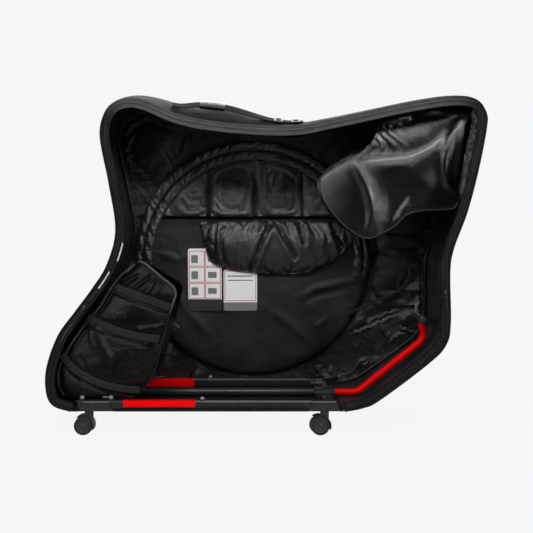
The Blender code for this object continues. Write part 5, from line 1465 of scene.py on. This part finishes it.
# %% Where the cover's folds lie
for fold in (
    ([(0.230, 0.752), (0.252, 0.705), (0.268, 0.671), (0.278, 0.636), (0.286, 0.605),
      (0.284, 0.574), (0.275, 0.532)], 0.016, 0.013, 0.021),
    ([(0.524, 0.846), (0.501, 0.803), (0.489, 0.767), (0.486, 0.741), (0.487, 0.715),
      (0.495, 0.680), (0.519, 0.656)], 0.012, 0.009, 0.018),
    ([(0.531, 0.850), (0.528, 0.760), (0.522, 0.690)], 0.008, 0.008, 0.010),
    ([(0.389, 0.634), (0.372, 0.602), (0.356, 0.572)], 0.011, 0.006, 0.016, 0.002),
):
    sheet += crest(*fold)
sheet += folded(near_cover.spots, (
    ([(0.400, 0.700), (0.430, 0.670), (0.470, 0.650)], 0.005, 0.035),
    ([(0.325, 0.852), (0.360, 0.860), (0.387, 0.866)], 0.012, 0.010),
    ([(0.430, 0.876), (0.460, 0.881), (0.512, 0.876)], 0.012, 0.009),
    ([(0.330, 0.560), (0.345, 0.610), (0.352, 0.680)], -0.006, 0.026),
), 0.10, 0.5)
receding = np.clip(above / 0.02, 0, 1)
mouth_side = np.clip((0.400 - x) / 0.09, 0, 1) * receding
fan = np.arctan2(z - 0.93, x - 0.290)
sheet += 0.0050 * mouth_side * np.abs(np.sin(fan * 17 + 1.5 * np.sin(z * 70))) ** 0.8
crumple = ridges(laid(x + 0.3 * z, 0, z), (34.0, 1.0, 9.0), 71, 3)
sheet += 0.0028 * (crumple - 0.4) * receding * (0.4 + 0.6 * mouth_side)
sheet += 0.0018 * waves(laid(x, 0, z), (7.0, 1.0, 7.0), 72)
near_sheet = near_cover.sheet("cover_near_sheet", cover_place, sheet, sheet - COVER_CLOTH,
                              cover_vinyl, node="bar_cover")

# %% The piping and the stitches along its free edge
hem_line = resampled(cover_low, 0.006)
away = np.linalg.norm(near_cover.spots[None, :, :] - hem_line[:, None, :], axis=2)
hem_height = smoothed(sheet[np.argmin(away, axis=1)], 2)
hem_path = np.array([cover_place(p, h + 0.0006) for p, h in zip(hem_line, hem_height)])
first = int(np.argmax(hem_line[:, 1] < 0.630))
swept("cover_piping", hem_path[first:], (0, -1, 0), round_section(0.0019, 8), hem_piping,
      slot="gloss_fabric")
hem_x, hem_z = hem_line.T
lower_hem = hem_path[(hem_x > 0.392) & (hem_x < 0.525) & (hem_z < 0.63)]
stitched("cover_stitches", [(lower_hem + np.array([0.0, -0.0010, 0.0060]), (0.0, -1.0, 0.0))],
         0.0060, slot="gloss_fabric")

# %% The cover's far sheet
FAR_COVER_Y, FAR_COVER_SLOPE = 0.055, 0.35
far_cover_high = [
    (0.300, 0.800), (0.311, 0.850), (0.366, 0.868), (0.448, 0.885), (0.491, 0.889), (0.545, 0.868),
]


def cover_far_place(p, h):
    return (p[0], FAR_COVER_Y - FAR_COVER_SLOPE * max(0.0, p[1] - 0.80) - h, p[1])


far_cover = Panel(np.vstack([cover_low, far_cover_high]), 0.010)
soft = 0.004 * waves(laid(*far_cover.spots.T, 0), (6, 6, 1), 77)
far_sheet = far_cover.sheet("cover_far_sheet", cover_far_place, soft + COVER_CLOTH / 2,
                            soft - COVER_CLOTH / 2, cover_vinyl, slot="gloss_fabric")

# %% [markdown]
# ## The rear pouch
#
# The pouch is a deep padded pocket over the rear mount. Its near face bulges between three straps,
# which draw it in. It is lofted level by level from the floor of the bag to its peak, and its open
# edges are bound with grey tape.

# %% The pouch's levels: height, rear X, front X and depth
POUCH_LEVELS = np.array([
    (0.0900, -0.542, -0.386, 0.300), (0.1184, -0.572, -0.336, 0.300),
    (0.1652, -0.574, -0.308, 0.300), (0.2153, -0.5545, -0.297, 0.300),
    (0.2850, -0.508, -0.2790, 0.300), (0.3454, -0.4546, -0.2620, 0.279),
    (0.3879, -0.4332, -0.2480, 0.225), (0.4244, -0.4058, -0.2963, 0.150),
    (0.4550, -0.3606, -0.3308, 0.075), (0.4660, -0.356, -0.346, 0.050),
])
POUCH_STRAPS = [
    [(-0.410, 0.394), (-0.335, 0.366), (-0.268, 0.340)],
    [(-0.490, 0.311), (-0.420, 0.284), (-0.350, 0.263), (-0.296, 0.254)],
    [(-0.560, 0.211), (-0.525, 0.178), (-0.484, 0.154), (-0.430, 0.132), (-0.376, 0.120),
     (-0.348, 0.117)],
]
POUCH_IN = 0.030
POUCH_CORNER, CORNER_RUN = 0.016, 0.03
REAR, FRONT, DEPTH = 1, 2, 3


def pouch_level(column, z):
    """A size of the pouch at a height, as a mean over a short stretch."""
    stretch = np.linspace(-0.012, 0.012, 7)
    return np.mean([np.interp(z + r, POUCH_LEVELS[:, 0], POUCH_LEVELS[:, column]) for r in stretch],
                   axis=0)


def pouch_bulge(x, z):
    """How far the pouch's near face stands out, before its creases."""
    rear, front = pouch_level(REAR, z), pouch_level(FRONT, z)
    s = np.clip((x - rear) / (front - rear), 0, 1)
    full = np.clip((z - 0.088) / 0.05, 0, 1) ** 0.6 * np.clip((0.470 - z) / 0.12, 0, 1) ** 0.6
    bulge = 0.034 * full * np.clip(np.sin(math.pi * s**0.85), 0, 1) ** 0.75
    for strap in POUCH_STRAPS:
        away, _ = distance_to(laid(x, z), strap)
        bulge = bulge - 0.0085 * bell(away, 0.017) * full
    return np.clip(bulge, 0, None)


def pouch_near_y(x, z):
    return -half_width(z) + POUCH_IN - pouch_bulge(x, z)


# %% The pouch's rings: near face, rear side, far side
FACE, SIDE, BACK, LEVELS = 68, 12, 22, 118
level_z = np.linspace(0.096, 0.462, LEVELS)
rings = []
for z in level_z:
    rear, front, deep = (pouch_level(column, z) for column in (REAR, FRONT, DEPTH))
    near = -half_width(z) + POUCH_IN
    face_x = rear + (front - rear) * np.linspace(1, 0, FACE)
    corner = POUCH_CORNER * np.clip(1 - (face_x - rear) / CORNER_RUN, 0, 1) ** 2
    t = np.linspace(0, 1, SIDE + 2)[1:-1]
    side_x = rear - 0.010 * np.sin(math.pi * t) * (1 if z > 0.26 else 0)
    side_y = near + POUCH_CORNER + (deep - 2 * POUCH_CORNER) * t
    t = np.linspace(0, 1, BACK)
    far_corner = POUCH_CORNER * np.clip(1 - t * (front - rear) / CORNER_RUN, 0, 1) ** 2
    rings.append(np.vstack([
        laid(face_x, pouch_near_y(face_x, np.full(FACE, z)) + corner, z),
        laid(side_x, side_y, z),
        laid(rear + (front - rear) * t, near + deep - far_corner, z),
    ]))
pouch_outer = np.array(rings)
run = np.gradient(pouch_outer, axis=1)
run /= np.linalg.norm(run, axis=2)[:, :, None] + 1e-12
side = laid(run[:, :, 1], -run[:, :, 0], 0)
side /= np.linalg.norm(side, axis=2)[:, :, None] + 1e-12
if side[20, 20, 1] > 0:
    side = -side

# %% The pouch's creases, and a groove below each strap
POUCH_CLOTH = 0.0045
POUCH_FOLDS = (
    ([(-0.462, 0.290), (-0.448, 0.250), (-0.424, 0.205)], 0.0080, 0.0090),
    ([(-0.480, 0.290), (-0.476, 0.262), (-0.470, 0.240)], 0.0060, 0.0060),
    ([(-0.540, 0.190), (-0.500, 0.140), (-0.430, 0.110)], -0.006, 0.0070),
    ([(-0.350, 0.230), (-0.325, 0.232), (-0.305, 0.238)], 0.0050, 0.0040),
    ([(-0.348, 0.284), (-0.315, 0.286), (-0.284, 0.290)], 0.0060, 0.0040),
    ([(-0.504, 0.206), (-0.494, 0.188), (-0.484, 0.170)], -0.005, 0.0050),
    ([(-0.390, 0.400), (-0.372, 0.414), (-0.356, 0.425)], 0.0075, 0.0050),
    ([(-0.366, 0.390), (-0.345, 0.406), (-0.324, 0.421)], 0.0080, 0.0050),
    ([(-0.345, 0.382), (-0.331, 0.394), (-0.318, 0.407)], 0.0075, 0.0045),
    ([(-0.330, 0.378), (-0.318, 0.394), (-0.305, 0.410)], 0.0070, 0.0045),
    ([(-0.312, 0.372), (-0.300, 0.386), (-0.290, 0.400)], 0.0050, 0.0050),
)
grooves = tuple((np.array(strap) - np.array([0.004, 0.0145]), -0.0045, 0.0042)
                for strap in POUCH_STRAPS)
shape = pouch_outer.shape[:2]
seen_flat = pouch_outer[:, :, [0, 2]].reshape(-1, 2)
on_near = np.arange(shape[1])[None, :] < FACE
wrinkle = ridges(pouch_outer, (10.0, 10.0, 12.0), 81, 4)
soft = waves(pouch_outer, (9.0, 9.0, 9.0), 82)
drawn = folded(seen_flat, POUCH_FOLDS + grooves, 0.5, 0).reshape(shape) * on_near
relief = 0.0022 * (wrinkle - 0.4) + 0.0020 * soft + drawn
pouch_outer = pouch_outer + side * (relief * np.clip(on_near * 1.0 + 0.35, 0, 1))[:, :, None]
pouch_inner = pouch_outer - side * POUCH_CLOTH
pouch_uv = laid(level_z[:, None], np.arange(shape[1])[None, :] * 0.0055)
pouch = shell_between("pouch_body", pouch_outer, pouch_inner, pouch_fabric, pouch_uv,
                      node="rear_pouch")

# %% The pouch's binding and piping
binding_section = [
    (-0.0032, 0.0), (-0.0029, 0.0019), (0.0, 0.0027), (0.0029, 0.0019), (0.0032, 0.0),
    (0.0, -0.0012),
]


def evened(line, smooth=5):
    """A line with an even spacing and without its small bends."""
    even = resampled(line, 0.006)
    return np.stack([smoothed(even[:, k], smooth) for k in range(3)], axis=1)


front_edge, top_edge = pouch_outer[:, 0], pouch_outer[-1, :FACE]
rim_path = evened(np.vstack([front_edge[:-1], top_edge]), 2)
rear_path = evened(pouch_outer[:, FACE - 2])
swept("pouch_binding_front", rim_path + np.array([0.001, -0.001, 0.0]), (0.35, -1.0, 0.2),
      binding_section, binding_tape, slot="rim_fabric")
swept("pouch_binding_rear", rear_path + np.array([-0.001, -0.0025, 0.0]), (-0.5, -0.8, 0.0),
      binding_section, binding_tape, slot="rim_fabric")
swept("pouch_piping_rear", evened(pouch_outer[:, FACE - 6]) + np.array([0.0, -0.0008, 0.0]),
      (-0.4, -0.9, 0.0), round_section(0.0012, 8), hem_piping, slot="rim_fabric")
stitched("binding_stitches", [
    (rim_path + np.array([0.001, -0.0037, 0.0]), (0.0, -1.0, 0.0)),
    (rear_path + np.array([-0.0018, -0.0047, 0.0]), (-0.4, -0.9, 0.0)),
], 0.0048, slot="rim_fabric")


# %% A strap's line over the pouch
def strap_line(points, lift=0.0022):
    """A strap's middle line, laid on the pouch's near face and a little above it."""
    x, z = resampled(spline(points, 8), 0.006).T
    return laid(x, smoothed(pouch_near_y(x, z) - lift, 3) - 0.0012, z)


# %% Three straps with stitches down both sides, and the keeper
for points, node, width in zip(
    POUCH_STRAPS, ("pouch_strap_top", "pouch_strap_middle", "pouch_strap_bottom"),
    (0.0225, 0.0225, 0.0200),
):
    line = strap_line(points)
    swept(node + "_webbing", line, (0, -1, 0), tape_section(width, 0.0024, 0.0006), webbing,
          node=node)
    beside = np.cross(unit(np.gradient(line, axis=0)), (0, -1, 0)) * (width / 2 - 0.0028)
    sides = [((line + sign * beside)[1:-1], (0, -1, 0)) for sign in (1, -1)]
    stitched(node + "_stitches", sides, 0.0052, 0.0022, slot="webbing")
keeper_line = strap_line([(-0.477, 0.3065), (-0.4725, 0.3045), (-0.468, 0.3030)], 0.0040)
swept("strap_keeper", keeper_line, (0, -1, 0), tape_section(0.027, 0.0022, 0.0008), webbing,
      slot="webbing")

# %% [markdown]
# ## The handle, the wheels and the mount tube
#
# The carrying handle is one strip of webbing on the crown. It lies flat at its front, where it runs
# through two adjusters, and lifts off to form the grip. The wheels are turned on a lathe: a tread
# with two grooves and a cap with a raised rim. The red mount tube is swept with round bends.

# %% Where the handle's strip lies: along nine stations of the outline, and partly lifted off
HANDLE_Y, HANDLE_HALF = -0.085, 0.015
stations = (44 + np.arange(9)) * STEPS / 3
fine = np.linspace(stations[0], stations[-1], 110)


def crown_place(index, y, out):
    """Points above the wall's crown at stations and one width, and the directions out of it."""
    i = np.arange(len(outline))
    spot = np.array([np.interp(index, i, outline[:, k]) for k in range(2)]).T
    normal = np.array([np.interp(index, i, outward[:, k]) for k in range(2)]).T
    share = y / half_width(spot[:, 1])
    rise = crown_at(spot[:, 0], spot[:, 1]) * (1 - share**2)
    rise = rise + FAR_LIFT * bell(spot[:, 0] - TOP_MIDDLE, TOP_REACH) * (1 + share) / 2
    moved = spot + normal * (rise + out)[:, None]
    return laid(moved[:, 0], y, moved[:, 1]), laid(normal[:, 0], 0, normal[:, 1])


lift = np.interp(fine, stations, np.array([0.0, 0.3, 1.0, 1.0, 1.0, 0.5, 0.0, 0.0, 0.0]) * 0.014)
lift = smoothed(lift, 8) + 0.0012
strip, strip_up = crown_place(fine, HANDLE_Y, lift)
low_side, _ = crown_place(fine, HANDLE_Y - HANDLE_HALF, lift)
high_side, _ = crown_place(fine, HANDLE_Y + HANDLE_HALF, lift)
across = high_side - low_side
true_up = unit(np.cross(across, np.cross(strip_up, across)))
true_up *= np.sign(np.sum(true_up * strip_up, axis=1))[:, None]

# %% The handle's strip, its stitches and its grip
swept("handle_strip", strip, true_up, tape_section(0.038, 0.0030, 0.0006, 8), webbing,
      node="top_handle_webbing")
sides = [(strip + sign * across / (2 * HANDLE_HALF) * 0.0145, true_up) for sign in (-1.0, 1.0)]
stitched("handle_stitches", sides, 0.0052, 0.0032, slot="webbing")
grip_rows = (fine > stations[2] + 0.2) & (fine < stations[4] - 0.2)
grip_section = [
    (-0.0225, 0.0015), (-0.0215, 0.0058), (-0.0150, 0.0082), (-0.0050, 0.0090), (0.0050, 0.0090),
    (0.0150, 0.0082), (0.0215, 0.0058), (0.0225, 0.0015), (0.0205, -0.0032), (0.0120, -0.0048),
    (-0.0120, -0.0048), (-0.0205, -0.0032),
]
swell = 1 - 0.10 * np.linspace(-1, 1, int(grip_rows.sum())) ** 6
grip = swept("handle_grip", strip[grip_rows], true_up[grip_rows], grip_section, cover_vinyl,
             scale=swell, node="top_handle_grip")

# %% The profile of a wheel
WHEEL_HALF = [
    (0.0014, 0.0250), (0.0018, 0.0241), (0.0024, 0.0241), (0.0028, 0.0249), (0.0036, 0.0249),
    (0.0058, 0.0243), (0.0074, 0.0226), (0.0080, 0.0205), (0.0079, 0.0172), (0.0068, 0.0162),
    (0.0062, 0.0150), (0.0066, 0.0060), (0.0072, 0.0052), (0.0080, 0.0040),
]
WHEEL_PROFILE = [(-side, radius) for side, radius in WHEEL_HALF[::-1]] + WHEEL_HALF
HUB_FACE, CAP_RADIUS, SIDES = 0.0080, 0.0172, 48


def wheel_spots():
    """A wheel's points round the Y axis: the middle of one side, its rings, the other middle."""
    yield (0, -HUB_FACE, 0)
    for offset, radius in WHEEL_PROFILE:
        for k in range(SIDES):
            turn = 2 * math.pi * k / SIDES
            rib = 0.0008 if 0.007 < radius < 0.0145 and k % 8 < 2 else 0.0
            out = offset + math.copysign(rib, offset)
            yield (radius * math.cos(turn), out, radius * math.sin(turn))
    yield (0, HUB_FACE, 0)


# %% A turned wheel at each spin joint
wheel_faces = []
for k in range(SIDES):
    on = (k + 1) % SIDES
    last = 1 + (len(WHEEL_PROFILE) - 1) * SIDES
    wheel_faces += [(0, 1 + k, 1 + on), (last + SIDES, last + on, last + k)]
    for row in range(1, last, SIDES):
        wheel_faces.append((row + k, row + k + SIDES, row + on + SIDES, row + on))
for joint in behaviour["joints"]:
    if not joint["name"].endswith("_spin"):
        continue
    axis = Vector(joint["axis"]).normalized()
    turned = Vector((0, 1, 0)).rotation_difference(axis).to_matrix()
    middle = Vector(joint["pos_m"])
    node = joint["child"]
    wheel = new_piece(node + "_turned", [middle + turned @ Vector(p) for p in wheel_spots()],
                      wheel_faces, tread, node=node, sharp=35)
    wheel.data.materials.append(hub_cap.material)
    for face in wheel.data.polygons:
        from_middle = Vector(face.center) - middle
        if (from_middle - axis * from_middle.dot(axis)).length < CAP_RADIUS:
            face.material_index = 1


# %% The mount tube
def filleted(points, radius, steps):
    """The points with each inner corner replaced by an arc."""
    points = [Vector(p) for p in points]
    path = [points[0]]
    for before, corner, after in zip(points, points[1:], points[2:]):
        back, on = (before - corner).normalized(), (after - corner).normalized()
        half = back.angle(on) / 2
        middle = corner + (back + on).normalized() * radius / math.sin(half)
        start = (corner + back * radius / math.tan(half) - middle).normalized()
        end = (corner + on * radius / math.tan(half) - middle).normalized()
        path += [middle + start.slerp(end, step / steps) * radius for step in range(steps + 1)]
    return [tuple(p) for p in [*path, points[-1]]]


hub_low = Vector((0.4547, 0, 0.2405)).lerp(Vector((0.4378, 0, 0.29596)), 1 - 0.0123 / 0.058)
tube_corners = [(0.0498, 0, 0.0822), (0.25847, 0, 0.0822), (0.4547, 0, 0.2405), hub_low]
swept("fork_mount_tube", filleted(tube_corners, 0.040, 14), (0, 1, 0), round_section(0.0100, 28),
      red_metal, node="front_mount_tube")

# %% [markdown]
# ## Floor, light and camera
#
# The bag is photographed in a white studio. The floor and the world are pale, and wide soft lamps
# stand above and to both sides, weak enough that a colour renders about as it is written. The
# camera stands a little above the bag's middle height and looks straight at its open side.

# %% The floor: pale for the camera and for mirrored rays, and a grey matt ground for all others
WHITE = (1.0, 1.0, 1.0, 1.0)
floor_mesh = bpy.data.meshes.new("floor")
corners = [(-30, -30, 0), (30, -30, 0), (30, 30, 0), (-30, 30, 0)]
floor_mesh.from_pydata(corners, [], [(0, 1, 2, 3)])
floor = in_scene("floor", floor_mesh)


def rays(tree):
    """One where the camera looks, and one for rays that were mirrored or let through."""
    paths = tree.nodes.new("ShaderNodeLightPath").outputs
    bounced = Wire(tree, paths["Is Glossy Ray"]) + Wire(tree, paths["Is Transmission Ray"])
    return Wire(tree, paths["Is Camera Ray"]), bounced


ground = Finish("studio_floor", grey(0.66, 0.66), 0.85, specular_ior_level=0.1)
spot = ground.axes(ground.place())
away = (spot[0] ** 2 + spot[1] ** 2) ** 0.5
seen, mirrored = rays(ground.tree)
bright = seen * ground.between(away, 0.7, 1.8, 0.947, 0.925)
bright = bright + mirrored * ground.between(spot[1], -1.4, 0.6, 0.02, 0.925)
share = seen * ground.between(away, 0.70, 1.8, 0.95, 1.0) + mirrored
pale = ground.node("ShaderNodeEmission", {}, {"Color": WHITE, "Strength": bright})
matt = Wire(ground.tree, ground.shader.outputs[0])
mix = ground.node("ShaderNodeMixShader", {}, {0: share, 1: matt, 2: pale})
ground.tree.links.new(mix.socket, ground.tree.nodes["Material Output"].inputs["Surface"])
floor_mesh.materials.append(ground.material)

# %% The world: white for the camera, darker behind it for mirrored rays, and a low even light
world = bpy.data.worlds.new("studio")
bpy.context.scene.world = world
world.use_nodes = True
tree = world.node_tree
sky = tree.nodes["Background"]
sky.inputs["Color"].default_value = WHITE
direction = tree.nodes.new("ShaderNodeSeparateXYZ")
tree.links.new(tree.nodes.new("ShaderNodeTexCoord").outputs["Generated"], direction.inputs[0])
backdrop = (Wire(tree, direction.outputs[1]) * 0.90 + 0.42).at_least(0.012).at_most(1.0)
seen, mirrored = rays(tree)
others = 1.0 - (seen + mirrored).at_most(1.0)
light = seen * 0.925 + mirrored * backdrop * 0.925 + others * 0.30
tree.links.new(light.socket, sky.inputs["Strength"])


# %% The lamps
def lamp(name, place, aim, size, power):
    data = bpy.data.lights.new(name, "AREA")
    data.shape = "RECTANGLE"
    data.size, data.size_y = size
    data.energy = power
    obj = in_scene(name, data)
    obj.location = place
    obj.rotation_euler = (Vector(aim) - Vector(place)).to_track_quat("-Z", "Y").to_euler()


lamp("lamp_key", (0.0, -2.35, 2.25), (0.0, 0.0, 0.6), (2.4, 0.40), 52)
lamp("lamp_left", (-2.5, -1.6, 1.5), (0.0, 0.0, 0.5), (0.40, 1.4), 22)
lamp("lamp_right", (2.5, -1.4, 1.3), (0.0, 0.0, 0.5), (0.40, 1.4), 26)
lamp("lamp_behind", (0.0, 2.2, 2.2), (0.0, 0.0, 0.6), (2.0, 0.5), 18)

# %% The camera
camera_data = bpy.data.cameras.new("camera")
camera_data.lens = 65.9
camera_data.sensor_width = 36.0
camera = in_scene("camera", camera_data)
camera.location = (-0.004, -2.8, 0.561)
camera.rotation_euler = (math.radians(90 - 2.38), 0.0, 0.0)
bpy.context.scene.camera = camera
bpy.context.scene.view_settings.view_transform = "Standard"
